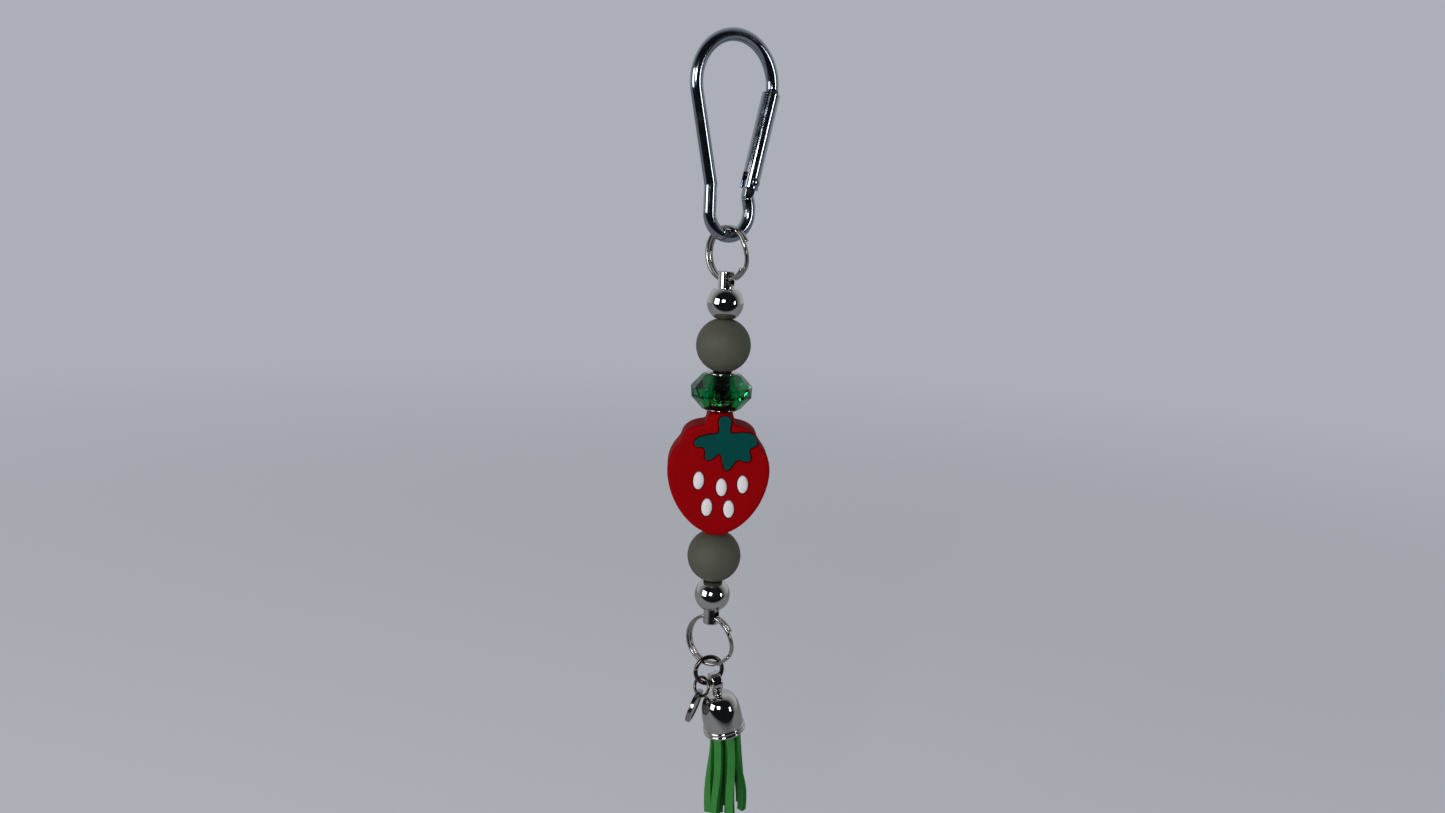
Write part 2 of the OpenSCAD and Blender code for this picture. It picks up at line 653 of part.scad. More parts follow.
module gate_plunger() {
    color("darkgray") in_gate() rotate([-90, 0, 0]) {
        translate([0, 0, cam_h + pin_gap]) cylinder(d = plunger_tip_d, h = plunger_top - cam_h - pin_gap);
        translate([0, 0, plunger_foot]) cylinder(d = plunger_d, h = plunger_h);
    }
}

module gate_spring() {
    color("gray") in_gate() rotate([-90, 0, 0]) skin(tube_rings(spring_path, spring_wire_d));
}

module upper_split_ring() {
    color("lightgray") at_height(upper_ring_z, upper_ring_turn) on_edge() split_ring();
}

module upper_end_ball() {
    color("silver") at_height(upper_eye_z) end_ball(upper_ring_turn);
}

module bar_rod() {
    color("darkgray") at_height(lower_seat_z - thread_depth)
        cylinder(d = bar_d, h = upper_seat_z - lower_seat_z + 2 * thread_depth);
}

module upper_round_bead() {
    color("darkolivegreen") at_height(upper_bead_z) round_bead();
}

module crystal_glass() {
    step = 360 / crystal_facets;
    levels = [
        [crystal_top_d / 2, -crystal_h / 2, -step / 2], [crystal_d / 2, -girdle_h / 2, -step / 2],
        [crystal_d / 2, girdle_h / 2, 0], [crystal_top_d / 2, crystal_h / 2, 0]];
    color("seagreen") at_height(crystal_z) difference() {
        skin([for (q = levels)
            [for (k = [1:crystal_facets])
                let (a = step * k + q[2]) [q[0] * cos(a), q[0] * sin(a), q[1]]]]);
        cylinder(d = crystal_bore_d, h = 2 * crystal_h, center = true);
    }
}

module crystal_upper_grommet() {
    color("silver") at_height(crystal_z + crystal_h / 2) grommet();
}

module crystal_lower_grommet() {
    color("silver") at_height(crystal_z - crystal_h / 2) mirror([0, 0, 1]) grommet();
}

module strawberry_body() {
    color("firebrick") difference() {
        intersection() {
            on_berry_face() skin(berry_rings);
            translate([0, 0, berry_top_z - berry_h / 2])
                cube([berry_w + bite, berry_t, berry_h + bite], center = true);
        }
        translate([0, 0, berry_top_z - berry_h - bite]) cylinder(d = bead_bore_d, h = berry_h + 2 * bite);
        for (back = [0, 1]) on_berry_face(back) translate([0, 0, -berry_t / 2 - bite]) {
            linear_extrude(inlay_depth + bite) leaf_outline(inlay_gap);
            at_seeds() linear_extrude(inlay_depth + bite) seed_outline(inlay_gap);
        }
    }
}

module strawberry_front_leaf() {
    color("darkgreen") berry_leaf(0);
}

module strawberry_back_leaf() {
    color("darkgreen") berry_leaf(1);
}

module strawberry_front_seeds() {
    color("white") berry_seeds(0);
}

module strawberry_back_seeds() {
    color("white") berry_seeds(1);
}

module lower_round_bead() {
    color("darkolivegreen") at_height(lower_bead_z) round_bead();
}

module lower_end_ball() {
    color("silver") at_height(lower_eye_z) mirror([0, 0, 1]) end_ball(lower_ring_turn);
}

module lower_split_ring() {
    color("lightgray") at_height(lower_ring_z, lower_ring_turn) on_edge() split_ring();
}

module jump_ring() {
    color("dimgray") at_height(jump_z, jump_turn) on_edge() slit_ring(jump_r, jump_wire_d, jump_slit_at);
}

module charm_ring() {
    color("dimgray") translate(charm_ring_p) rotate([0, charm_ring_lean, 0])
        rotate([0, 0, charm_ring_turn]) on_edge() slit_ring(charm_ring_r, charm_wire_d, charm_slit_at);
}

module tag_charm() {
    hole_y = charm_d / 2 - charm_hole_wall - charm_hole_d / 2;
    color("lightgray") at_charm() on_edge() translate([0, -hole_y]) difference() {
        union() {
            cylinder(d = charm_d, h = charm_t - 2 * charm_rim_h, center = true);
            difference() {
                cylinder(d = charm_d, h = charm_t, center = true);
                cylinder(d = charm_d - 2 * charm_rim_w, h = charm_t + bite, center = true);
            }
        }
        translate([0, hole_y]) cylinder(d = charm_hole_d, h = charm_t + bite, center = true);
    }
}

module tassel_cap() {
    color("silver") at_tassel() difference() {
        union() {
            rotate([0, 90, 0]) cylinder(d = tassel_eye_d, h = tassel_eye_t, center = true);
            translate([0, 0, cap_top_z - bite]) cylinder(d = tassel_neck_d, h = tassel_neck_h + 2 * bite);
            rotate_extrude() polygon(concat(
                [[0, cap_mouth_z], [(cap_d - rim_h) / 2, cap_mouth_z]],
                dome_curve(0)));
            for (k = [0, 1]) translate([0, 0, cap_mouth_z + rim_h * (k + 0.5)]) {
                rotate_extrude() translate([(cap_d - rim_h) / 2, 0]) circle(d = rim_h);
                cylinder(d = cap_d - rim_h, h = rim_h, center = true);
            }
        }
        rotate([0, 90, 0]) cylinder(d = tassel_hole_d, h = tassel_eye_t + bite, center = true);
        for (side = [-90, 90]) rotate([0, side, 0])
            cylinder(d1 = tassel_hole_d - bite, d2 = tassel_hole_d + 2 * tassel_flare, h = tassel_eye_t / 2);
        rotate_extrude() polygon(concat(
            [[0, cap_mouth_z - bite], [cap_bore_r, cap_mouth_z - bite], [cap_bore_r, cap_mouth_z]],
            dome_curve(cap_wall)));
    }
}

module outer_suede_strips() {
    color("green") at_tassel()
        suede_row(outer_strips, outer_row_r, strip_splay, outer_first, strip_spin, strip_wave);
}

module inner_suede_strips() {
    color("forestgreen") at_tassel() suede_row(inner_strips, inner_row_r, 0, inner_first, 0, strip_wave / 4);
}

carabiner_frame();
carabiner_gate();
gate_rivet();
gate_plunger();
gate_spring();
upper_split_ring();
upper_end_ball();
bar_rod();
upper_round_bead();
crystal_glass();
crystal_upper_grommet();
crystal_lower_grommet();
strawberry_body();
strawberry_front_leaf();
strawberry_back_leaf();
strawberry_front_seeds();
strawberry_back_seeds();
lower_round_bead();
lower_end_ball();
lower_split_ring();
jump_ring();
charm_ring();
tag_charm();
tassel_cap();
outer_suede_strips();
inner_suede_strips();
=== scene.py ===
"""Beaded keychain: the looks of its pieces and a small studio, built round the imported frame."""

from math import acos, asin, atan2, cos, degrees, hypot, pi, radians, sin, sqrt, tan

import bpy
from mathutils import Matrix, Vector


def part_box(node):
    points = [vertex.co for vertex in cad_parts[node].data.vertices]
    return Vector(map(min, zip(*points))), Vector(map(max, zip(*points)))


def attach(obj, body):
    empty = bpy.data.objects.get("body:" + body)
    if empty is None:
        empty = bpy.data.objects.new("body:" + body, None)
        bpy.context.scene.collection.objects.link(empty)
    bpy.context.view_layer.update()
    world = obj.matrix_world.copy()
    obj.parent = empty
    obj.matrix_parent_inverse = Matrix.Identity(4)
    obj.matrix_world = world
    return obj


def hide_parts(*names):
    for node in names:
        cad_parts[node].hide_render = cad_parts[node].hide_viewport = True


bl_info = {
    "name": "Beaded keychain",
    "version": (1, 0, 0),
    "blender": (4, 5, 0),
    "location": "View3D > Sidebar > Keychain",
    "description": "Models the pieces of a beaded keychain and a small studio",
    "category": "Add Mesh",
}

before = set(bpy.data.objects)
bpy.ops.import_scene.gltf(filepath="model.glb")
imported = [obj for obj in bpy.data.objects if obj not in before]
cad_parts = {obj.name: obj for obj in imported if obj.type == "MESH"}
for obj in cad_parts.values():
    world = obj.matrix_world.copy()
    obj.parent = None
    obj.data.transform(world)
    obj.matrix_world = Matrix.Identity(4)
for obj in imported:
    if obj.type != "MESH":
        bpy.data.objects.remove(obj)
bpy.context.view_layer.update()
MM = 0.001


def linear(code):
    """Turns an sRGB hex colour into linear RGBA."""
    parts = [int(code[i:i + 2], 16) / 255 for i in (1, 3, 5)]
    return [c / 12.92 if c <= 0.04045 else ((c + 0.055) / 1.055) ** 2.4 for c in parts] + [1.0]


def length(name, description, mm):
    """A size that is kept in metres and written in millimetres."""
    return bpy.props.FloatProperty(
        name=name, description=description, default=mm * MM, min=0.0, precision=5, unit="LENGTH")


def angle(name, description, turn):
    """An angle that is written in degrees."""
    return bpy.props.FloatProperty(
        name=name, description=description, default=radians(turn), unit="ROTATION", subtype="ANGLE")


def colour(name, description, code):
    """A colour that is written as sRGB hex."""
    return bpy.props.FloatVectorProperty(
        name=name, description=description, default=linear(code), size=4, min=0.0, max=1.0, subtype="COLOR")


class KeychainSizes(bpy.types.PropertyGroup):
    """Sizes and turns of the pieces."""

    rod: length("Rod", "Diameter of the carabiner's bent rod", 2.8)
    crown: length("Crown", "Radius of the crown at the middle of the rod", 10)
    loop: length("Loop", "Radius of the lower loop at the middle of the rod", 5.3)
    bottom: length("Bottom", "Depth of the carabiner's lowest point", 41.7)
    kink_up: length("Kink height", "Height of the kink above the bottom", 12.3)
    kink_bend: length("Kink bend", "Radius of the bend at the kink", 5)
    rivet_bend: length("Rivet bend", "Radius of the bend that leads the rod in under the rivet", 8)
    nose_drop: angle("Nose", "How far the crown runs on past its widest point", 4)
    carabiner_turn: angle("Carabiner turn", "Turn of the carabiner about the vertical", 35)
    gate: length("Gate", "Diameter of the gate", 4)
    pivot_up: length("Rivet height", "Height of the rivet above the bottom", 13)
    tail: length("Gate tail", "Length of the gate below its rivet", 1.5)
    tongue: length("Tongue", "Thickness of the flat tongues", 1.4)
    tongue_round: length("Tongue round", "Radius of the tongue round the rivet", 1.35)
    slot: length("Slot", "Width of the slots in the gate", 1.7)
    latch: length("Latch", "Depth of the slot for the nose's tongue", 2.6)
    nose_gap: length("Nose gap", "Gap between the gate and the nose", 0.5)
    gate_bore: length("Gate bore", "Diameter of the bore for the spring", 1.9)
    gate_deep: length("Gate bore depth", "Depth of that bore", 12)
    rivet: length("Rivet", "Diameter of the rivet", 1.2)
    rivet_head: length("Rivet head", "Diameter of the rivet's heads", 2)
    rivet_play: length("Rivet play", "Gap round the rivet in the rod's tongue", 0.05)
    ring: length("Split ring", "Outer diameter of the split rings", 12.2)
    ring_wire: length("Ring wire", "Radial thickness of the flat ring wire", 0.75)
    ring_pile: length("Ring width", "Width of the two turns together", 1.92)
    upper_ring_turn: angle("Upper ring turn", "Turn of the upper ring about the vertical", -47)
    lower_ring_turn: angle("Lower ring turn", "Turn of the lower ring about the vertical", -33)
    ball: length("Ball", "Diameter of the end balls", 8)
    ball_seat: length("Ball seat", "Height of the ball's centre over its seat", 3.3)
    ball_neck: length("Ball neck", "Height from the ball's centre to its post", 3)
    ball_bore: length("Ball bore", "Depth of the ball's bore for the bar", 4.55)
    post: length("Post", "Diameter of the post", 3.6)
    post_up: length("Post height", "Height of the post", 3.9)
    eye: length("Eye", "Radius of the post's eye", 1.212)
    eye_wall: length("Eye wall", "Wall over the post's eye", 0.6)
    bar: length("Bar", "Diameter of the bar through the beads", 2)
    bead: length("Round bead", "Diameter of the round beads", 12)
    bead_up: length("Bead height", "Height of the round beads between their flats", 11.7)
    bead_bore: length("Bead bore", "Diameter of the beads' bore", 2.2)
    crystal: length("Crystal", "Diameter of the crystal over its girdle", 13.6)
    crystal_end: length("Crystal end", "Diameter of the crystal's flat ends", 8.6)
    crystal_up: length("Crystal height", "Height of the crystal's glass", 7.7)
    girdle: length("Girdle", "Height of the girdle of triangles", 2.2)
    crystal_bore: length("Crystal bore", "Diameter of the crystal's bore", 5)
    grommet: length("Grommet", "Diameter of the grommets' flanges", 7.4)
    grommet_wall: length("Grommet wall", "Wall of the grommets", 0.35)
    berry_wide: length("Strawberry width", "Width of the strawberry", 22.6)
    berry_up: length("Strawberry height", "Height of the strawberry", 27.5)
    berry_thick: length("Strawberry thickness", "Thickness of the strawberry", 9)
    inlay_sink: length("Inlay depth", "Depth of the leaf and the seeds in their pockets", 0.8)
    inlay_rise: length("Inlay rise", "Height of the leaf and the seeds over the face", 0.35)
    groove: length("Groove", "Half the width of the shadow line round each inlay", 0.14)
    seed_long: length("Seed length", "Length of a seed", 4.1)
    seed_wide: length("Seed width", "Width of a seed", 2.5)
    jump: length("Jump ring", "Outer diameter of the jump ring", 7.4)
    jump_wire: length("Jump wire", "Wire of the jump ring", 1)
    jump_turn: angle("Jump turn", "Turn of the jump ring about the vertical", 18)
    ring_slit: angle("Slit", "Angle of the slit in the jump ring and the charm's ring", 5)
    charm_at: angle("Charm place", "Place of the charm's ring on the jump ring", 22)
    charm_ring: length("Charm ring", "Outer diameter of the charm's ring", 5)
    charm_wire: length("Charm wire", "Wire of the charm's ring", 0.7)
    charm_ring_turn: angle("Charm ring turn", "Turn of the charm's ring about the vertical", -48)
    charm_ring_lean: angle("Charm ring lean", "Lean of the charm's ring", 20)
    charm: length("Charm", "Diameter of the tag charm", 8)
    charm_thick: length("Charm thickness", "Thickness of the tag charm", 1)
    charm_rim: length("Charm rim", "Width of the charm's raised rim", 0.6)
    charm_rise: length("Charm rim height", "Height of the charm's raised rim", 0.2)
    charm_hole: length("Charm hole", "Diameter of the charm's hole", 1.7)
    charm_wall: length("Charm wall", "Wall between the hole and the charm's edge", 0.55)
    charm_turn: angle("Charm turn", "Turn of the charm about the vertical", 73)
    charm_lean: angle("Charm lean", "Lean of the charm", 17)
    tassel_at: angle("Tassel place", "Place of the tassel's eye on the jump ring", 33)
    tassel_tilt: angle("Tassel tilt", "Tilt of the tassel's cap to the right", 13)
    tassel_eye: length("Tassel eye", "Diameter of the tassel's eye", 4.4)
    tassel_hole: length("Tassel hole", "Hole of the tassel's eye", 2.1)
    tassel_flare: length("Tassel flare", "Flare of that hole", 0.5)
    tassel_eye_thick: length("Eye thickness", "Thickness of the tassel's eye", 2.3)
    neck: length("Neck", "Diameter of the cap's neck", 2.3)
    neck_up: length("Neck length", "Length of the cap's neck", 0.9)
    cap_up: length("Cap height", "Height of the cap", 9.8)
    dome: length("Dome", "Diameter of the cap's dome", 9.3)
    dome_power: bpy.props.FloatProperty(
        name="Dome curve", description="Power of the dome's curve: 2 is round, more is squarer", default=3.2)
    cap: length("Cap", "Diameter of the cap over its rims", 9.8)
    cap_rim: length("Cap rim", "Height of each rim", 0.9)
    cap_wall: length("Cap wall", "Wall of the cap", 0.55)
    strip_wide: length("Strip width", "Width of a suede strip", 2)
    strip_thick: length("Strip thickness", "Thickness of a suede strip", 1.3)
    strip_long: length("Strip length", "Length of the longest strips below the cap", 20.8)
    strip_root: length("Strip root", "Length of the strips inside the cap", 4.2)
    strip_uneven: length("Strip unevenness", "Difference between long and short strips", 1.4)
    strip_splay: length("Strip splay", "Spread of the outer row at its lower end", 1.1)
    strip_wave: length("Strip wave", "Sideways wave of the strips", 0.6)
    strip_bend: length("Strip bend", "Length over which the strips bend to the vertical", 2.5)
    strip_hang: angle("Strip hang", "Angle from the cap's tilt back to the hang of the strips", 10.5)
    strip_spin: angle("Strip twist", "Twist of the outer strips", 60)
    link_gap: length("Link gap", "Clearance between linked rings", 0.15)


class KeychainColours(bpy.types.PropertyGroup):
    """Colours of the pieces."""

    zinc: colour("Zinc", "Bluish zinc plate on the carabiner", "#a4aeb9")
    chrome: colour("Chrome", "Bright plate on the balls, the grommets and the cap", "#d2d0cc")
    ring_plate: colour("Ring plate", "Nickel plate on the split rings", "#b5b2ae")
    dark_plate: colour("Dark plate", "Dark nickel on the jump ring and the charm's ring", "#5a5650")
    charm_plate: colour("Charm plate", "Nickel plate on the tag charm", "#a9a6a1")
    grey: colour("Grey bead", "Silicone of the round beads", "#4a4b40")
    red: colour("Red", "Silicone of the strawberry", "#820004")
    leaf: colour("Leaf", "Silicone of the leaf", "#003f3b")
    seed: colour("Seed", "Silicone of the seeds", "#cfcbcd")
    glass: colour("Glass", "Cut glass of the crystal", "#078a48")
    suede: colour("Suede", "Face of the suede strips", "#367b38")
    # Darker than the face: partly the cut edge's own colour, partly painted shade on the strips' narrow sides
    suede_cut_with_painted_shade: colour("Cut suede", "Cut sides of the suede strips", "#1a6423")
    backdrop: colour("Backdrop", "Backdrop behind the floor", "#acafb8")
    floor: colour("Floor", "Paper of the floor", "#f1f3f8")


# Modelling by hand: start, select, shape, finish


def deselect():
    """Leaves edit mode and deselects everything."""
    if bpy.context.object and bpy.context.object.mode != "OBJECT":
        bpy.ops.object.mode_set(mode="OBJECT")
    bpy.ops.object.select_all(action="DESELECT")


def only(piece):
    """Makes a piece the one selected and active object, in object mode."""
    deselect()
    piece.select_set(True)
    bpy.context.view_layer.objects.active = piece


def opened(piece):
    """Goes into edit mode with all of a piece selected."""
    only(piece)
    bpy.ops.object.mode_set(mode="EDIT")
    bpy.ops.mesh.select_mode(type="VERT")
    bpy.ops.mesh.select_all(action="SELECT")
    return piece


def named(piece, name):
    """Names a piece and its mesh."""
    piece.name = piece.data.name = name
    return piece


def start(name, adder, scale=(1, 1, 1), **settings):
    """Adds a primitive at its size and opens it."""
    deselect()
    adder(**settings)
    piece = named(bpy.context.object, name)
    piece.scale = scale
    bpy.ops.object.transform_apply(location=False, rotation=False, scale=True)
    return opened(piece)


def pick(piece, test, faces=False):
    """Selects the points or faces that pass a test, in edit mode."""
    opened(piece)
    bpy.ops.mesh.select_mode(type="FACE" if faces else "VERT")
    bpy.ops.mesh.select_all(action="DESELECT")
    bpy.ops.object.mode_set(mode="OBJECT")
    for item in piece.data.polygons if faces else piece.data.vertices:
        item.select = test(item)
    bpy.ops.object.mode_set(mode="EDIT")


def bevel_picked(width, segments=3):
    """Rounds the selected edges."""
    bpy.ops.mesh.bevel(offset=width, segments=segments, affect="EDGES", clamp_overlap=True)


def drawn_on(delta):
    """Draws the selected ring on by a step."""
    bpy.ops.mesh.extrude_region_move(TRANSFORM_OT_translate={"value": delta})


def spun(steps, by, centre=(0, 0)):
    """Spins the selected ring about Z. The operator turns the other way."""
    bpy.ops.mesh.spin(steps=steps, angle=-by, center=(*centre, 0), axis=(0, 0, 1))


def scaled(share, centre):
    """Scales the selected ring across, about a centre."""
    bpy.ops.transform.resize(value=(share, share, 1), center_override=centre)


def applied(piece, kind, **settings):
    """Adds a modifier to a piece and applies it."""
    only(piece)
    modifier = piece.modifiers.new(kind.title(), kind)
    for key, value in settings.items():
        setattr(modifier, key, value)
    bpy.ops.object.modifier_apply(modifier=modifier.name)


def edged(piece, width, segments, limit):
    """Breaks the edges that turn by more than a limit in degrees."""
    applied(piece, "BEVEL", width=width, segments=segments, limit_method="ANGLE", angle_limit=radians(limit))


def softened(piece, voxel, rounds):
    """Rounds a moulded piece all over, by fine cells that are smoothed."""
    applied(piece, "REMESH", mode="VOXEL", voxel_size=voxel)
    applied(piece, "SMOOTH", factor=0.5, iterations=rounds)


def baked(piece, place=None):
    """Puts a piece in its place and leaves the place in its mesh."""
    only(piece)
    if place is not None:
        piece.matrix_world = place @ piece.matrix_world
    bpy.ops.object.transform_apply(location=True, rotation=True, scale=True)
    return piece


def outward(piece):
    """Merges doubles and turns the faces outwards."""
    opened(piece)
    bpy.ops.mesh.remove_doubles(threshold=0.002 * MM)
    bpy.ops.mesh.normals_make_consistent(inside=False)
    bpy.ops.object.mode_set(mode="OBJECT")
    return piece


def cut(piece, cutter, operation="DIFFERENCE"):
    """Cuts a piece with another, or welds the other on, and removes the other."""
    outward(piece)
    outward(cutter)
    applied(piece, "BOOLEAN", operation=operation, object=cutter, solver="EXACT")
    bpy.data.objects.remove(cutter)
    if not piece.data.polygons:
        raise RuntimeError(f"nothing is left of {piece.name}")


def drilled(piece, radius, depth, sides, **place):
    """Drills a round hole."""
    cut(piece, baked(start("drill", bpy.ops.mesh.primitive_cylinder_add, vertices=sides, radius=radius,
                           depth=depth, **place)))


def milled(piece, place, size):
    """Mills a square slot."""
    cut(piece, baked(start("mill", bpy.ops.mesh.primitive_cube_add, size=1, location=place, scale=size)))


def welded(piece, *others):
    """Joins others into a piece."""
    only(piece)
    for other in others:
        other.select_set(True)
    bpy.ops.object.join()
    return piece


def copied(piece, name):
    """A copy of a piece with its own mesh."""
    only(piece)
    bpy.ops.object.duplicate(linked=False)
    return named(bpy.context.object, name)


def finished(piece, place, paint, body, node, smooth=30):
    """Turns the faces outwards, places and smooths a piece, paints it, ties it to its body and hides the CAD
    node that it stands for.
    """
    outward(piece)
    baked(piece, place)
    bpy.ops.object.shade_smooth_by_angle(angle=radians(smooth))
    # Large faces stay flat beside their rounded edges
    applied(piece, "WEIGHTED_NORMAL", keep_sharp=True, thresh=0)
    if paint:
        piece.data.materials.append(paint_of(paint))
    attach(piece, body)
    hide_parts(node)


def left_plain(*nodes):
    """Paints CAD nodes that show as the solids that they are."""
    for node in nodes:
        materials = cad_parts[node].data.materials
        materials.clear()
        materials.append(paint_of("drawn_spring_steel"))


def move(x=0, y=0, z=0):
    """A shift."""
    return Matrix.Translation((x, y, z))


def turn(angle, axis):
    """A turn about an axis."""
    return Matrix.Rotation(angle, 4, axis)


def eased(k):
    """A share from 0 to 1 with a soft start and a soft end."""
    return k * k * (3 - 2 * k)


def arc(cx, cz, r, first, last, steps):
    """Points of an arc in a profile, in degrees from the X axis."""
    ways = [radians(first + (last - first) * i / steps) for i in range(steps + 1)]
    return [(cx + r * cos(a), cz + r * sin(a)) for a in ways]


def below(side):
    """The lower half of a profile that is the same above and below."""
    return [(x, -z) for x, z in reversed(side)]


def turned(name, profile, steps=96, closed=False):
    """Turns a round piece about Z, ring by ring: each ring is extruded, lifted and scaled from the last."""
    r, z = profile[0]
    piece = start(name, bpy.ops.mesh.primitive_circle_add, vertices=steps, radius=r, location=(0, 0, z))
    for r2, z2 in profile[1:]:
        drawn_on((0, 0, z2 - z))
        scaled(r2 / r, (0, 0, z2))
        r, z = r2, z2
    bpy.ops.mesh.select_all(action="SELECT")
    if not closed:
        bpy.ops.mesh.fill_holes(sides=0)
    return outward(piece)


def traced(name, outline, depth):
    """Traces an outline from point to point, fills it and draws it out by a depth along Z."""
    piece = start(name, bpy.ops.mesh.primitive_plane_add, size=MM, location=(*outline[0], 0))
    bpy.ops.mesh.merge(type="CENTER")
    for p, q in zip(outline, outline[1:]):
        bpy.ops.mesh.extrude_vertices_move(TRANSFORM_OT_translate={"value": (q[0] - p[0], q[1] - p[1], 0)})
    bpy.ops.mesh.select_all(action="SELECT")
    bpy.ops.mesh.edge_face_add()
    drawn_on((0, 0, depth))
    return outward(baked(piece))


def section(name, radius, place, at, sides):
    """Starts a round section that stands across the XY plane, at an angle about Z."""
    return start(name, bpy.ops.mesh.primitive_circle_add, vertices=sides, radius=radius,
                 location=place, rotation=(pi / 2, 0, at))


def capped(piece, width):
    """Closes the ends of a drawn wire, and breaks their edges."""
    opened(piece)
    bpy.ops.mesh.fill_holes(sides=0)
    outward(piece)
    # The ends are the only faces with more than four corners
    pick(piece, lambda face: len(face.vertices) > 4, faces=True)
    bevel_picked(width, 2)
    return outward(piece)


# Materials


def add_node(tree, kind, values=None, links=None, **settings):
    """Adds a shader node with its settings, its values, and links from nodes or (node, output) pairs."""
    new = tree.nodes.new("ShaderNode" + kind)
    for key, value in settings.items():
        setattr(new, key, value)
    for key, value in (values or {}).items():
        new.inputs[key].default_value = value
    for key, source in (links or {}).items():
        node, output = source if isinstance(source, tuple) else (source, 0)
        tree.links.new(node.outputs[output], new.inputs[key])
    return new


def new_material(name):
    """An empty material, its tree and its Object coordinates."""
    paint = bpy.data.materials.new(name)
    paint.use_nodes = True
    paint.node_tree.nodes.clear()
    return paint, paint.node_tree, (add_node(paint.node_tree, "TexCoord"), "Object")


def shade(code, share):
    """A colour made darker or lighter by a share."""
    return [min(1.0, c * share) for c in code[:3]] + [1.0]


def plate(name, base, low, high):
    """Polished electroplate: mirror bright, with a faint orange-peel ripple and hazy handling marks."""
    paint, tree, place = new_material(name)
    # Smudges 2.5 mm across set how sharp the mirror is, and the plate ripples every 0.8 mm, by a few microns
    smudge, ripple = (add_node(tree, "TexNoise", {"Scale": scale, "Detail": 1.0}, {"Vector": place})
                      for scale in (400.0, 1250.0))
    haze = add_node(tree, "MapRange", {"From Min": 0.35, "From Max": 0.75, "To Min": low, "To Max": high},
                    {"Value": smudge})
    bump = add_node(tree, "Bump", {"Strength": 0.02, "Distance": 0.02 * MM}, {"Height": ripple})
    mix = add_node(tree, "MixRGB", {"Color1": base, "Color2": shade(base, 0.88)}, {"Fac": smudge})
    skin = add_node(tree, "BsdfPrincipled", {"Metallic": 1.0},
                    {"Base Color": mix, "Roughness": haze, "Normal": bump})
    add_node(tree, "OutputMaterial", {}, {"Surface": skin})
    return paint


def silicone(name, base, dust, shine):
    """Moulded silicone: a soft matte skin with a fine grain, a little lint and a broad dull gloss."""
    paint, tree, place = new_material(name)
    # Blotches 4 mm across and specks of 0.25 mm lift the colour where dust clings.
    # The mould's blasted grain is 0.12 mm
    blotch, speck, grain = (
        add_node(tree, "TexNoise", {"Scale": scale, "Detail": detail}, {"Vector": place})
        for scale, detail in ((250.0, 3.0), (4000.0, 2.0), (8000.0, 2.0)))
    lint = add_node(tree, "MapRange", {"From Min": 0.62, "From Max": 0.8}, {"Value": speck})
    broad = add_node(tree, "MixRGB", {"Color1": shade(base, 0.92), "Color2": shade(base, 1.1)},
                     {"Fac": blotch})
    mix = add_node(tree, "MixRGB", {"Color2": shade(base, dust)}, {"Fac": lint, "Color1": broad})
    gloss = add_node(tree, "MapRange", {"To Min": 0.5, "To Max": 0.66}, {"Value": blotch})
    bump = add_node(tree, "Bump", {"Strength": 0.25, "Distance": 0.03 * MM}, {"Height": grain})
    skin = add_node(tree, "BsdfPrincipled", {"IOR": 1.41, "Specular IOR Level": shine},
                    {"Base Color": mix, "Roughness": gloss, "Normal": bump})
    add_node(tree, "OutputMaterial", {}, {"Surface": skin})
    return paint


def cut_glass(name, base):
    """Cut lead-free glass: clear, with a deep tint, faint striae and a sharp polish."""
    paint, tree, place = new_material(name)
    # Striae drift over 3 mm
    drift = add_node(tree, "TexNoise", {"Scale": 330.0, "Detail": 2.0}, {"Vector": place})
    mix = add_node(tree, "MixRGB", {"Color1": shade(base, 0.8), "Color2": shade(base, 1.15)}, {"Fac": drift})
    polish = add_node(tree, "MapRange", {"To Min": 0.0, "To Max": 0.03}, {"Value": drift})
    skin = add_node(tree, "BsdfPrincipled", {"IOR": 1.52, "Transmission Weight": 1.0},
                    {"Base Color": mix, "Roughness": polish})
    add_node(tree, "OutputMaterial", {}, {"Surface": skin})
    return paint


def suede(name, base, sheen, deep):
    """Split suede: a dull nap that is brushed in patches, with painted shade between its tufts and fibres
    that catch light at the edges.
    """
    paint, tree, place = new_material(name)
    # Brushed patches are 1.6 mm across, and tufts 0.35 mm, drawn coarser than real fibres so that they show
    patch = add_node(tree, "TexNoise", {"Scale": 620.0, "Detail": 3.0}, {"Vector": place})
    along = add_node(tree, "Mapping", {"Scale": (1.0, 1.0, 0.45)}, {"Vector": place})
    fibre = add_node(tree, "TexNoise", {"Scale": 2900.0, "Detail": 5.0, "Roughness": 0.75}, {"Vector": along})
    broad = add_node(tree, "MixRGB", {"Color1": shade(base, 0.72), "Color2": shade(base, 1.2)},
                     {"Fac": patch})
    # Where the fibres lie low the nap turns darker: partly the fibres' own tone, partly painted shade in the
    # hollows between the tufts
    fine = add_node(tree, "MapRange", {"From Min": 0.3, "From Max": 0.7}, {"Value": fibre})
    dark = add_node(tree, "MixRGB", {"Color2": shade(base, deep)}, {"Color1": broad})
    mix = add_node(tree, "MixRGB", {}, {"Fac": fine, "Color1": dark, "Color2": broad})
    bump = add_node(tree, "Bump", {"Strength": 0.7, "Distance": 0.08 * MM}, {"Height": fibre})
    skin = add_node(tree, "BsdfPrincipled",
                    {"Roughness": 0.95, "Sheen Weight": 0.25, "Sheen Roughness": 0.6, "Sheen Tint": sheen,
                     "Specular IOR Level": 0.15},
                    {"Base Color": mix, "Normal": bump})
    add_node(tree, "OutputMaterial", {}, {"Surface": skin})
    return paint


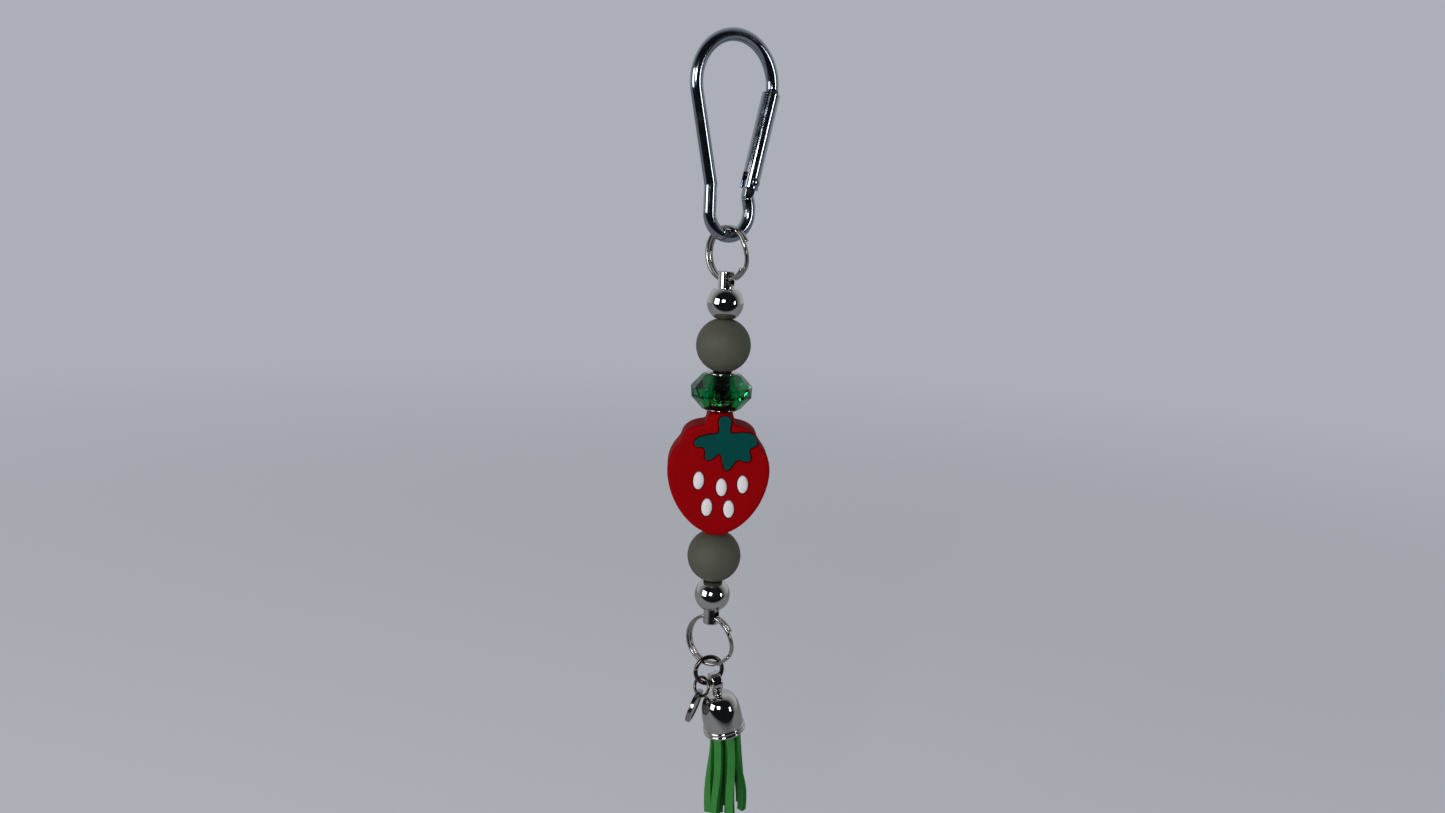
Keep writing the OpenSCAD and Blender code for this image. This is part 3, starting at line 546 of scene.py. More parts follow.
def paint_of(name):
    """The keychain's materials, each made once."""
    if name in bpy.data.materials:
        return bpy.data.materials[name]
    c = bpy.context.scene.keychain_colours
    maker, base, *rest = {
        # Plates: least and most roughness
        "zinc_plated_steel": (plate, c.zinc, 0.07, 0.17),
        "polished_chrome_plate": (plate, c.chrome, 0.03, 0.12),
        "nickel_plated_ring_wire": (plate, c.ring_plate, 0.08, 0.22),
        "dark_nickel_plate": (plate, c.dark_plate, 0.12, 0.28),
        "nickel_plated_tag": (plate, c.charm_plate, 0.1, 0.26),
        "drawn_spring_steel": (plate, shade(c.dark_plate, 1.2), 0.2, 0.35),
        # Silicones: brightness of the lint, and gloss
        "grey_moulded_silicone": (silicone, c.grey, 1.9, 0.3),
        "red_moulded_silicone": (silicone, c.red, 1.35, 0.04),
        "green_moulded_silicone": (silicone, c.leaf, 1.6, 0.05),
        "white_moulded_silicone": (silicone, c.seed, 0.8, 0.25),
        "green_cut_glass": (cut_glass, c.glass),
        # Suedes: tint of the sheen, and depth of the painted shade between the tufts
        "green_split_suede": (suede, c.suede, shade(c.suede, 2.2), 0.5),
        # The cut edge's darker colour and deep hollows are partly its own, partly painted shade on the
        # strips' sides
        "green_cut_suede_edge": (suede, c.suede_cut_with_painted_shade, shade(c.suede, 1.2), 0.1),
    }[name]
    return maker(name, list(base), *rest)


# Places that the pieces share


def sizes():
    """The sizes that the panel shows."""
    return bpy.context.scene.keychain_sizes


def middle(node):
    """Middle of a CAD node's box."""
    low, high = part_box(node)
    return (low + high) / 2


def carabiner_place():
    """The carabiner's plane: X to the gate, Y up."""
    return turn(sizes().carabiner_turn, "Z") @ turn(pi / 2, "X")


def pivot_point():
    """The rivet in the carabiner's plane."""
    s = sizes()
    return Vector((s.loop, s.pivot_up - s.bottom))


def nose_point():
    """The end of the crown in the carabiner's plane."""
    s = sizes()
    return Vector((s.crown * cos(s.nose_drop), s.rod / 2 - s.crown - s.crown * sin(s.nose_drop)))


def gate_place():
    """The gate's frame: Y up the gate from the rivet."""
    p, q = pivot_point(), nose_point()
    return carabiner_place() @ move(*p) @ turn(-atan2(q.x - p.x, q.y - p.y), "Z")


def gate_length():
    """Length of the gate above the rivet, short of the nose."""
    return (nose_point() - pivot_point()).length - sizes().nose_gap


def on_jump(at):
    """A point on the jump ring's wire, at an angle from its lowest point."""
    s = sizes()
    r = (s.jump - s.jump_wire) / 2
    return Vector((r * sin(at) * cos(s.jump_turn), r * sin(at) * sin(s.jump_turn),
                   middle("jump_ring").z - r * cos(at)))


def leaning(at):
    """Downwards, leaning to the left."""
    return Vector((-sin(at), 0, -cos(at)))


def charm_ring_centre():
    """Middle of the charm's ring."""
    s = sizes()
    rise = (s.jump_wire + s.charm_wire) / 2 + 2 * s.link_gap
    return on_jump(-s.charm_at) + ((s.charm_ring - s.charm_wire) / 2 - rise) * leaning(s.charm_ring_lean)


def tassel_place():
    """The tassel's frame: its eye at the origin, its cap below."""
    s = sizes()
    eye = on_jump(s.tassel_at) - Vector((0, 0, s.link_gap))
    return move(*eye) @ turn(s.jump_turn, "Z") @ turn(-s.tassel_tilt, "Y")


def berry_place(back=0):
    """The strawberry's face: Y down from the top of its tab, the face towards -Z."""
    return move(0, 0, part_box("strawberry_body")[1].z) @ turn(pi * back, "Z") @ turn(-pi / 2, "X")


# Operators


class KEYCHAIN_OT_carabiner(bpy.types.Operator):
    """Models the bent rod of the carabiner with its two tongues"""

    bl_idname = "keychain.carabiner"
    bl_label = "Carabiner"

    def execute(self, context):
        s = sizes()
        play, rod_edge, tongue_edge, latch_edge = 0.55 * MM, 0.25 * MM, 0.12 * MM, 0.15 * MM
        crown = Vector((0, s.rod / 2 - s.crown))
        low = Vector((0, s.rod / 2 + s.loop - s.bottom))
        kink = Vector((-s.loop, s.kink_up - s.bottom))
        reach = kink - crown
        arm_at = 2 * pi + atan2(reach.y, reach.x) - acos(s.crown / reach.length)
        arm = crown + s.crown * Vector((cos(arm_at), sin(arm_at)))
        lean = atan2(kink.x - arm.x, arm.y - kink.y)
        bend = kink - Vector((s.kink_bend, s.kink_bend * tan(lean / 2)))
        nose, pivot = nose_point(), pivot_point()
        # The rod stops short of the circle that the gate's tail sweeps, and leans in under the rivet
        shoulder = pivot.y - hypot(s.tail, s.gate / 2) - play
        inward = Vector((s.loop - s.rivet_bend, low.y))
        swing = asin((shoulder - low.y) / s.rivet_bend)
        end = inward + s.rivet_bend * Vector((cos(swing), sin(swing)))
        rod = section("carabiner_rod", s.rod / 2, (*nose, 0), -s.nose_drop, sides=48)
        spun(72, arm_at + s.nose_drop, crown)
        step = bend + s.kink_bend * Vector((cos(lean), sin(lean))) - arm
        drawn_on((*step, 0))
        spun(8, -lean, bend)
        drawn_on((0, low.y - bend.y, 0))
        spun(40, pi, low)
        spun(10, swing, inward)
        baked(capped(rod, rod_edge))
        # The lower tongue is a disc round the rivet, drawn out and narrowed to the end of the rod
        tongue = start("tongue", bpy.ops.mesh.primitive_circle_add, vertices=48, radius=s.tongue_round,
                       fill_type="NGON", location=(*pivot, -s.tongue / 2))
        drawn_on((0, 0, s.tongue))
        baked(tongue)
        root, taper, level = end - pivot, 0.86, 0.9
        pick(tongue, lambda v: (v.co.xy - pivot).dot(root) > 0)
        bpy.ops.transform.translate(value=(*root, 0))
        scaled(taper, (*end, 0))
        pick(tongue, lambda face: abs(face.normal.z) > level, faces=True)
        bevel_picked(tongue_edge)
        # The upper tongue reaches from the nose into the gate's slot
        wide, long, out, down = 2.25 * MM, 3.1 * MM, 0.275 * MM, 0.75 * MM
        latch = start("latch", bpy.ops.mesh.primitive_cube_add, size=1, scale=(wide, long, s.tongue),
                      location=(out, gate_length() - down, 0))
        bevel_picked(latch_edge)
        baked(latch, move(*pivot) @ turn(-atan2(nose.x - pivot.x, nose.y - pivot.y), "Z"))
        cut(rod, tongue, "UNION")
        cut(rod, latch, "UNION")
        drilled(rod, s.rivet / 2 + s.rivet_play, s.gate, sides=32, location=(*pivot, 0))
        finished(rod, carabiner_place(), "zinc_plated_steel", "carabiner", "carabiner_frame")
        return {"FINISHED"}


class KEYCHAIN_OT_gate(bpy.types.Operator):
    """Models the gate and its rivet, and paints the plunger and the spring inside it"""

    bl_idname = "keychain.gate"
    bl_label = "Gate"

    def execute(self, context):
        s = sizes()
        r, top, over = s.gate / 2, gate_length(), MM
        edge, slot_edge, room = 0.2 * MM, 0.09 * MM, 0.5 * MM
        ease, fork = edge * 0.3, s.tongue_round + room
        end = [(r - edge, 0), (r - ease, ease), (r, edge)]
        bar = turned("carabiner_gate_bar", [(x, z - s.tail) for x, z in end]
                     + [(x, top - z) for x, z in reversed(end)], steps=64)
        baked(bar, turn(-pi / 2, "X"))
        # A fork round the lower tongue, a slot on the outside for the upper one, and the bore of the spring
        milled(bar, (0, (fork - s.tail - over) / 2, 0), (2 * s.gate, fork + s.tail + over, s.slot))
        milled(bar, (r - over, top - s.latch / 2 + over / 2, 0), (s.gate, s.latch + over, s.slot))
        drilled(bar, s.gate_bore / 2, s.gate_deep, sides=32, location=(0, s.gate_deep / 2, 0),
                rotation=(pi / 2, 0, 0))
        edged(bar, slot_edge, segments=2, limit=40)
        finished(bar, gate_place(), "zinc_plated_steel", "gate", "carabiner_gate")
        pin, head, gap, rise = s.rivet / 2, s.rivet_head / 2, 0.01 * MM, 0.38 * MM
        side = [(pin, 0), (pin, r + gap), (head, r + gap)]
        side += [(head * cos(a), r + 2 * gap + rise * sin(a)) for a in map(radians, range(0, 81, 16))]
        rivet = turned("gate_rivet_pin", below(side) + side[1:], steps=40)
        finished(rivet, gate_place(), "zinc_plated_steel", "gate", "gate_rivet")
        left_plain("gate_plunger", "gate_spring")
        return {"FINISHED"}


class KEYCHAIN_OT_split_rings(bpy.types.Operator):
    """Models the two split rings of flat wire"""

    bl_idname = "keychain.split_rings"
    bl_label = "Split rings"

    def execute(self, context):
        s = sizes()
        corner, edge, gap = 0.26 * MM, 0.08 * MM, 0.02 * MM
        r = (s.ring - s.ring_wire) / 2
        wide = s.ring_pile / 2 - gap
        lift = s.ring_pile - wide
        # The wire starts 30 degrees round, and climbs from one turn to the other over 60 degrees
        first, jog, steps = radians(30), radians(60), 15
        flat = 2 * pi - first - jog / 2
        climb = [eased(i / steps) for i in range(steps + 1)]
        for side, at in (("upper", s.upper_ring_turn), ("lower", s.lower_ring_turn)):
            node = f"{side}_split_ring"
            wire = start(f"{node}_wire", bpy.ops.mesh.primitive_plane_add, size=1, location=(r, 0, -lift / 2),
                         rotation=(pi / 2, 0, 0), scale=(s.ring_wire, wide, 1))
            bpy.ops.mesh.bevel(offset=corner, segments=4, affect="VERTICES")
            opened(baked(wire, turn(first, "Z")))
            bpy.ops.mesh.delete(type="ONLY_FACE")
            bpy.ops.mesh.select_all(action="SELECT")
            spun(60, flat)
            for before, after in zip(climb, climb[1:]):
                spun(1, jog / steps)
                bpy.ops.transform.translate(value=(0, 0, lift * (after - before)))
            spun(60, flat)
            capped(wire, edge)
            finished(wire, move(0, 0, middle(node).z) @ turn(at, "Z") @ turn(pi / 2, "X"),
                     "nickel_plated_ring_wire", f"{side}_ring", node)
        return {"FINISHED"}


class KEYCHAIN_OT_end_balls(bpy.types.Operator):
    """Models the two end balls with their posts and eyes, and paints the bar"""

    bl_idname = "keychain.end_balls"
    bl_label = "End balls"

    def execute(self, context):
        s = sizes()
        gap, fillet, edge = 0.01 * MM, 0.25 * MM, 0.3 * MM
        r, z, bore, post = s.ball / 2, s.ball_seat, s.bar / 2 + gap, s.post / 2
        neck = z + s.ball_neck
        top = neck + s.post_up
        low, high = degrees(asin(-z / r)), degrees(asin(s.ball_neck / r))
        profile = [(bore, s.ball_bore), (bore, 0)] + arc(0, z, r, low, high, 40)
        profile += arc(post + fillet, neck + fillet, fillet, 270, 180, 5)
        profile += [(post, top - edge)] + arc(post - edge, top - edge, edge, 15, 90, 5)
        # The eye opens out over its last half millimetre
        flare, depth, over = 0.35 * MM, 0.45 * MM, 0.05 * MM
        mouth = [(s.eye, post - depth), (s.eye + flare, post + over)]
        for flip, (side, body, at) in enumerate((("upper", "bead_bar", s.upper_ring_turn),
                                                 ("lower", "lower_end", -s.lower_ring_turn))):
            node = f"{side}_end_ball"
            ball = turned(f"{node}_post", profile)
            eye = turned("eye", below(mouth) + mouth, steps=48)
            cut(ball, baked(eye, move(0, 0, top - s.eye - s.eye_wall) @ turn(at, "Z") @ turn(pi / 2, "Y")))
            finished(ball, move(0, 0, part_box(node)[flip].z) @ turn(pi * flip, "X"), "polished_chrome_plate",
                     body, node)
        left_plain("bar_rod")
        return {"FINISHED"}


class KEYCHAIN_OT_round_beads(bpy.types.Operator):
    """Models the two round silicone beads"""

    bl_idname = "keychain.round_beads"
    bl_label = "Round beads"

    def execute(self, context):
        s = sizes()
        edge, line, steps = 0.12 * MM, 0.02 * MM, 60
        r, flat, bore = s.bead / 2, s.bead_up / 2, s.bead_bore / 2
        lip = degrees(asin(flat / r))
        curve = arc(0, 0, r, lip, -lip, steps)
        # A mould line of 0.02 mm stands round the middle
        curve[steps // 2] = (r + line, 0)
        profile = arc(bore + edge, flat - edge, edge, 180, 90, 4) + curve
        profile += arc(bore + edge, edge - flat, edge, 270, 180, 4) + profile[:1]
        for side in ("upper", "lower"):
            node = f"{side}_round_bead"
            bead = turned(f"{node}_skin", profile, closed=True)
            finished(bead, move(0, 0, middle(node).z), "grey_moulded_silicone", f"{side}_bead", node,
                     smooth=60)
        return {"FINISHED"}


class KEYCHAIN_OT_crystal(bpy.types.Operator):
    """Models the cut glass crystal and its two grommets"""

    bl_idname = "keychain.crystal"
    bl_label = "Crystal"

    def execute(self, context):
        s = sizes()
        facets, polish, steep = 12, 0.07 * MM, 0.45
        half, wide, end, girdle = s.crystal_up / 2, s.crystal / 2, s.crystal_end / 2, s.girdle / 2
        # Out to the girdle, half a facet round on it, and in to the other end
        glass = start("crystal_cut_glass", bpy.ops.mesh.primitive_circle_add, vertices=facets, radius=end,
                      fill_type="NGON", location=(0, 0, half))
        drawn_on((0, 0, girdle - half))
        scaled(wide / end, (0, 0, girdle))
        drawn_on((0, 0, -2 * girdle))
        bpy.ops.transform.rotate(value=pi / facets, orient_axis="Z", center_override=(0, 0, 0))
        drawn_on((0, 0, girdle - half))
        scaled(end / wide, (0, 0, -half))
        outward(baked(glass))
        pick(glass, lambda face: abs(face.normal.z) < steep, faces=True)
        bpy.ops.mesh.quads_convert_to_tris(quad_method="SHORTEST_DIAGONAL")
        drilled(glass, s.crystal_bore / 2, 2 * s.crystal_up, sides=48)
        edged(glass, polish, segments=1, limit=12)
        at = middle("crystal_glass").z
        finished(glass, move(0, 0, at), "green_cut_glass", "crystal", "crystal_glass",
                 smooth=5)
        gap, wall, flange, deep = 0.01 * MM, s.grommet_wall, s.grommet / 2, s.crystal_up / 3
        tube, lip_in, lip_down = s.crystal_bore / 2 - gap, 0.15 * MM, 0.12 * MM
        bore = tube - wall
        profile = [(bore, wall - lip_down), (bore, -deep), (tube, -deep), (tube, 0), (flange - wall / 2, 0)]
        profile += arc(flange - wall / 2, wall / 2, wall / 2, -60, 90, 6)
        profile += [(bore + lip_in, wall), profile[0]]
        for flip, side in enumerate(("upper", "lower")):
            node = f"crystal_{side}_grommet"
            ring = turned(f"{node}_ring", profile, steps=72, closed=True)
            finished(ring, move(0, 0, at - half if flip else at + half) @ turn(pi * flip, "X"),
                     "polished_chrome_plate", "crystal", node)
        return {"FINISHED"}


class KEYCHAIN_OT_strawberry(bpy.types.Operator):
    """Models the strawberry with its leaf and seeds on both faces"""

    bl_idname = "keychain.strawberry"
    bl_label = "Strawberry"

    # Corners of the leaf as shares of the strawberry's width to one side and of its height down
    leaf_corners = (
        (0, 0.015), (0.09, 0.015), (0.115, 0.06), (0.09, 0.155), (0.23, 0.138), (0.315, 0.148), (0.36, 0.18),
        (0.38, 0.245), (0.283, 0.278), (0.32, 0.355), (0.28, 0.395), (0.176, 0.362), (0.11, 0.455),
        (0.06, 0.465), (0.03, 0.4), (0.007, 0.31), (-0.06, 0.375), (-0.145, 0.385), (-0.141, 0.275),
        (-0.235, 0.28), (-0.26, 0.23), (-0.2, 0.185), (-0.1, 0.165), (-0.005, 0.155), (-0.03, 0.06))
    # Middles of the seeds, as the same shares
    seed_places = ((-0.19, 0.55), (0.035, 0.6), (0.24, 0.57), (-0.1, 0.768), (0.115, 0.777))

    def fruit_outline(self):
        """The face's edge: tab, leafy shoulder and fruit, round both sides."""
        s = sizes()
        w, h, waist = s.berry_wide, s.berry_up, 0.47
        tab, corner, tip = 3 * MM, 1.2 * MM, 2.2 * MM
        shoulder, out, down = 2.5 * MM, 5.4 * MM, 3.6 * MM
        # How full the fruit is over its widest line, how far that curve rises, and how blunt it is below
        full, rise, point, blunt = 2.2, 0.72, 1.8, 0.55
        edge = [(tab - corner * (1 - sin(a)), corner * (1 - cos(a))) for a in map(radians, range(0, 91, 15))]
        edge += [(tab + out * sin(a), shoulder + down * (1 - cos(a))) for a in map(radians, range(0, 91, 10))]
        edge += [(w / 2 * (1 - k ** full) ** 0.5, h * waist * (1 - k * rise))
                 for k in (0.6, 0.5, 0.4, 0.3, 0.2, 0.1)]
        for i in range(25):
            k = sin(radians(90 * i / 24))
            edge.append((max(tip, w / 2 * max(0, 1 - k ** point) ** blunt), h * (waist + (1 - waist) * k)))
        return edge + [(-x, y) for x, y in reversed(edge)]

    def leaf_outline(self, grow):
        """The leaf's edge with rounded corners, moved outwards."""
        s = sizes()
        corner, most = 1.1 * MM, 0.45
        corners = [Vector((x * s.berry_wide, y * s.berry_up)) for x, y in self.leaf_corners]
        loop = []
        for i, p in enumerate(corners):
            a, b = corners[i - 1] - p, corners[(i + 1) % len(corners)] - p
            q = p + a * min(most, corner / a.length)
            r = p + b * min(most, corner / b.length)
            loop += [(1 - t) ** 2 * q + 2 * t * (1 - t) * p + t * t * r for t in (0, 0.2, 0.4, 0.6, 0.8, 1)]
        out = []
        for i, p in enumerate(loop):
            along = (loop[(i + 1) % len(loop)] - loop[i - 1]).normalized()
            out.append(tuple(p + grow * Vector((along.y, -along.x))))
        return out

    def seeds(self, name, grow, depth, dome=0):
        """Five oval seeds with domed tops, or the cutter for their pockets."""
        s = sizes()
        made, lean = [], radians(2)
        for x, y in self.seed_places:
            seed = start(name, bpy.ops.mesh.primitive_circle_add, vertices=48, radius=1, fill_type="NGON",
                         scale=(s.seed_wide / 2 + grow, s.seed_long / 2 + grow, 1), location=(0, 0, depth))
            drawn_on((0, 0, dome - depth))
            for i in range(8 if dome else 0):
                a, b = radians(10 * i), radians(10 * (i + 1))
                drawn_on((0, 0, dome * (sin(a) - sin(b))))
                scaled(cos(b) / cos(a), (0, 0, 0))
            outward(baked(seed))
            place = move(x * s.berry_wide, y * s.berry_up) @ turn(-lean if x > 0 else lean, "Z")
            made.append(baked(seed, place))
        return welded(*made)

    def execute(self, context):
        s = sizes()
        half, over, dome = s.berry_thick / 2, MM, 0.5 * MM
        sink, deep = s.inlay_sink + over, s.inlay_sink + s.inlay_rise
        body = traced("strawberry_fruit", self.fruit_outline(), s.berry_thick)
        softened(baked(body, move(0, 0, -half)), voxel=0.22 * MM, rounds=50)
        drilled(body, s.bead_bore / 2, 2 * s.berry_up, sides=40, rotation=(pi / 2, 0, 0))
        for back in (0, 1):
            for pocket in (traced("leaf_pocket", self.leaf_outline(s.groove), sink),
                           self.seeds("seed_pocket", s.groove, sink)):
                cut(body, baked(pocket, turn(pi * back, "Y") @ move(0, 0, -half - over)))
        finished(body, berry_place(), "red_moulded_silicone", "strawberry", "strawberry_body",
                 smooth=40)
        leaf = traced("strawberry_front_leaf_inlay", self.leaf_outline(-s.groove), deep)
        softened(leaf, voxel=0.09 * MM, rounds=14)
        seeds = named(self.seeds("seed", -s.groove / 2, deep, dome), "strawberry_front_seed_inlays")
        for inlay in (leaf, seeds):
            baked(inlay, move(0, 0, -half - s.inlay_rise))
        backs = copied(leaf, "strawberry_back_leaf_inlay"), copied(seeds, "strawberry_back_seed_inlays")
        for back, (side, inlays) in enumerate((("front", (leaf, seeds)), ("back", backs))):
            for inlay, kind, tint in zip(inlays, ("leaf", "seeds"), ("green", "white")):
                finished(inlay, berry_place(back), f"{tint}_moulded_silicone", "strawberry",
                         f"strawberry_{side}_{kind}", smooth=40)
        return {"FINISHED"}


class KEYCHAIN_OT_links(bpy.types.Operator):
    """Models the jump ring and the charm's ring of round wire"""

    bl_idname = "keychain.links"
    bl_label = "Links"

    def execute(self, context):
        s = sizes()
        edge, upright = 0.08 * MM, turn(pi / 2, "X")
        jump_place = move(0, 0, middle("jump_ring").z) @ turn(s.jump_turn, "Z") @ upright
        charm_place = (move(*charm_ring_centre()) @ turn(s.charm_ring_lean, "Y")
                       @ turn(s.charm_ring_turn, "Z") @ upright)
        for node, body, wide, thick, slit, place in (
                ("jump_ring", "jump", s.jump, s.jump_wire, radians(170), jump_place),
                ("charm_ring", "charm_loop", s.charm_ring, s.charm_wire, 0, charm_place)):
            wire = section(f"{node}_wire", thick / 2, ((wide - thick) / 2, 0, 0), 0, sides=28)
            spun(88, 2 * pi - s.ring_slit)
            baked(capped(wire, edge), turn(slit + s.ring_slit / 2, "Z"))
            finished(wire, place, "dark_nickel_plate", body, node)
        return {"FINISHED"}


class KEYCHAIN_OT_tag_charm(bpy.types.Operator):
    """Models the round tag charm with its rim and hole"""

    bl_idname = "keychain.tag_charm"
    bl_label = "Tag charm"

    def execute(self, context):
        s = sizes()
        r, half, rise = s.charm / 2, s.charm_thick / 2, s.charm_rise
        inner, edge, hole_edge = r - s.charm_rim, 0.12 * MM, 0.05 * MM
        # The rim rises from the face in a short curve
        side = [(inner - 0.1 * MM, half - rise), (inner, half - rise + 0.05 * MM),
                (inner + 0.06 * MM, half - 0.04 * MM), (inner + 0.14 * MM, half)]
        side += arc(r - edge, half - edge, edge, 90, 0, 5)
        tag = turned("tag_charm_disc", side + below(side))
        up = r - s.charm_wall - s.charm_hole / 2
        drilled(tag, s.charm_hole / 2, 4 * s.charm_thick, sides=40, location=(0, up, 0))
        edged(tag, hole_edge, segments=2, limit=50)
        pin = charm_ring_centre() + (s.charm_ring - s.charm_wire) / 2 * leaning(s.charm_ring_lean)
        at = pin + ((s.charm_hole - s.charm_wire) / 2 - 2 * s.link_gap) * leaning(s.charm_lean)
        place = (move(*at) @ turn(s.charm_lean, "Y") @ turn(s.charm_turn, "Z") @ turn(pi / 2, "X")
                 @ move(0, -up))
        finished(tag, place, "nickel_plated_tag", "charm", "tag_charm")
        return {"FINISHED"}


class KEYCHAIN_OT_tassel_cap(bpy.types.Operator):
    """Models the tassel's cap with its neck and eye"""

    bl_idname = "keychain.tassel_cap"
    bl_label = "Tassel cap"

    def execute(self, context):
        s = sizes()
        top = -s.tassel_eye / 2 - s.neck_up
        mouth, r, rim = top - s.cap_up, s.dome / 2, s.cap_rim / 2
        foot, wall, out = mouth + 4 * rim, s.cap_wall, s.cap / 2 - rim
        neck, fillet, sunk, power = s.neck / 2, 0.3 * MM, 0.6 * MM, 2 / s.dome_power

        def dome(inset, first, last, steps):
            """Points of the dome's curve, drawn in by an inset, over angles in degrees."""
            ends = [radians(first + (last - first) * i / steps) for i in range(steps + 1)]
            return [((r - inset) * cos(a) ** power, foot + (top - foot - inset) * sin(a) ** power)
                    for a in ends]

        profile = [(neck, top + s.neck_up + sunk)] + arc(neck + fillet, top + fillet / 2, fillet, 180, 265, 5)
        profile += dome(0, 74, 0, 40)
        profile += arc(out, mouth + 3 * rim, rim, 82, -82, 14) + arc(out, mouth + rim, rim, 82, -90, 14)
        profile += [(out - wall, mouth), (out - wall, foot)] + dome(wall, 8, 80, 12)
        cap = turned("tassel_cap_shell", profile)
        hole, wide, half = s.tassel_hole / 2, s.tassel_eye / 2, s.tassel_eye_thick / 2
        # The eye's hole opens out to both sides in a curve: shares of the flare and of the half thickness
        curve, edge = ((0, 0), (0.08, 0.45), (0.45, 0.82), (1, 1)), 0.3 * MM
        ring = [(hole + s.tassel_flare * a, half * b) for a, b in curve]
        ring += arc(wide - edge, half - edge, edge, 90, 0, 5)
        eye = turned("eye", ring + below(ring), steps=72, closed=True)
        welded(cap, baked(eye, turn(pi / 2, "Y")))
        finished(cap, tassel_place(), "polished_chrome_plate", "tassel", "tassel_cap")
        return {"FINISHED"}


class KEYCHAIN_OT_suede_strips(bpy.types.Operator):
    """Models the suede strips of the tassel, drawn out step by step from the cap"""

    bl_idname = "keychain.suede_strips"
    bl_label = "Suede strips"

    def strip(self, name, row, at, long, splay, side, twist):
        """One strip, with its face away from the tassel's middle."""
        s = sizes()
        mouth = -s.tassel_eye / 2 - s.neck_up - s.cap_up
        whole, bend, steps, corner = long + s.strip_root, s.strip_bend, 26, 0.22 * MM
        # Turns of the two waves over the length below the cap
        out_wave, side_wave = radians(400), radians(330)

        def point(k):
            """The strip's middle at a share of its length: straight in the cap, then splayed and waved."""
            depth = k * whole - s.strip_root
            free = max(0, depth) / long
            out = row + splay * eased(free) + side / 3 * sin(out_wave * free)
            shift = side * sqrt(free) * sin(side_wave * free)
            fall = free * long
            drift = tan(s.strip_hang) * (fall * fall / bend / 2 if fall < bend else fall - bend / 2)
            return Vector((out * cos(at) - shift * sin(at) - drift, out * sin(at) + shift * cos(at),
                           mouth - depth))

        def spin(k):
            """The strip's turn at a share of its length, which starts below the cap."""
            root = 0.23
            return at + twist * eased(max(0, min(1, (k - root) / (1 - root))))

        strip = start(name, bpy.ops.mesh.primitive_plane_add, size=1, scale=(s.strip_thick, s.strip_wide, 1))
        bpy.ops.mesh.bevel(offset=corner, segments=3, affect="VERTICES")
        opened(baked(strip, move(*point(0)) @ turn(spin(0), "Z")))
        for i in range(steps):
            k, k2 = i / steps, (i + 1) / steps
            drawn_on(point(k2) - point(k))
            bpy.ops.transform.rotate(value=spin(k) - spin(k2), orient_axis="Z", center_override=point(k2))
        outward(strip)
        # The narrow sides and the ends are cut, and the wide faces are napped. The cut faces take the darker
        # edge suede, partly their own colour and partly painted shade on the strips' sides
        for paint in ("green_split_suede", "green_cut_suede_edge"):
            strip.data.materials.append(paint_of(paint))
        for face in strip.data.polygons:
            to, napped = spin((mouth - face.center.z + s.strip_root) / whole), 0.7
            face.material_index = int(abs(face.normal.dot((cos(to), sin(to), 0))) < napped)
        return strip

    def row(self, name, node, count, radius, splay, first, spin, wave):
        """A row of strips round the tassel's middle, each with its own length, wave and twist."""
        s = sizes()
        made = []
        for k in range(count):
            # Turns in degrees that don't fall together within a row
            short, side, twist = (sin(radians(turn_by * k + begin))
                                  for turn_by, begin in ((140, 40), (97, 25), (123, 60)))
            at, long = first + 2 * pi * k / count, s.strip_long - s.strip_uneven * (1 + short) / 2
            made.append(self.strip(f"{name}_{k}", radius, at, long, splay, wave * side, spin * twist))
        row = named(welded(*made), name)
        finished(row, tassel_place(), None, "tassel", node, smooth=50)

    def execute(self, context):
        s = sizes()
        bore, wall_gap, gap = s.cap / 2 - s.cap_rim / 2 - s.cap_wall, 0.1 * MM, 0.06 * MM
        outer = sqrt((bore - wall_gap) ** 2 - (s.strip_wide / 2) ** 2) - s.strip_thick / 2
        inner = s.strip_wide / 2 / tan(pi / 3) + s.strip_thick / 2 + gap
        self.row("outer_suede_tassel", "outer_suede_strips", 7, outer, s.strip_splay, radians(12),
                 s.strip_spin, s.strip_wave)
        self.row("inner_suede_tassel", "inner_suede_strips", 3, inner, 0, radians(50), 0, s.strip_wave / 4)
        return {"FINISHED"}


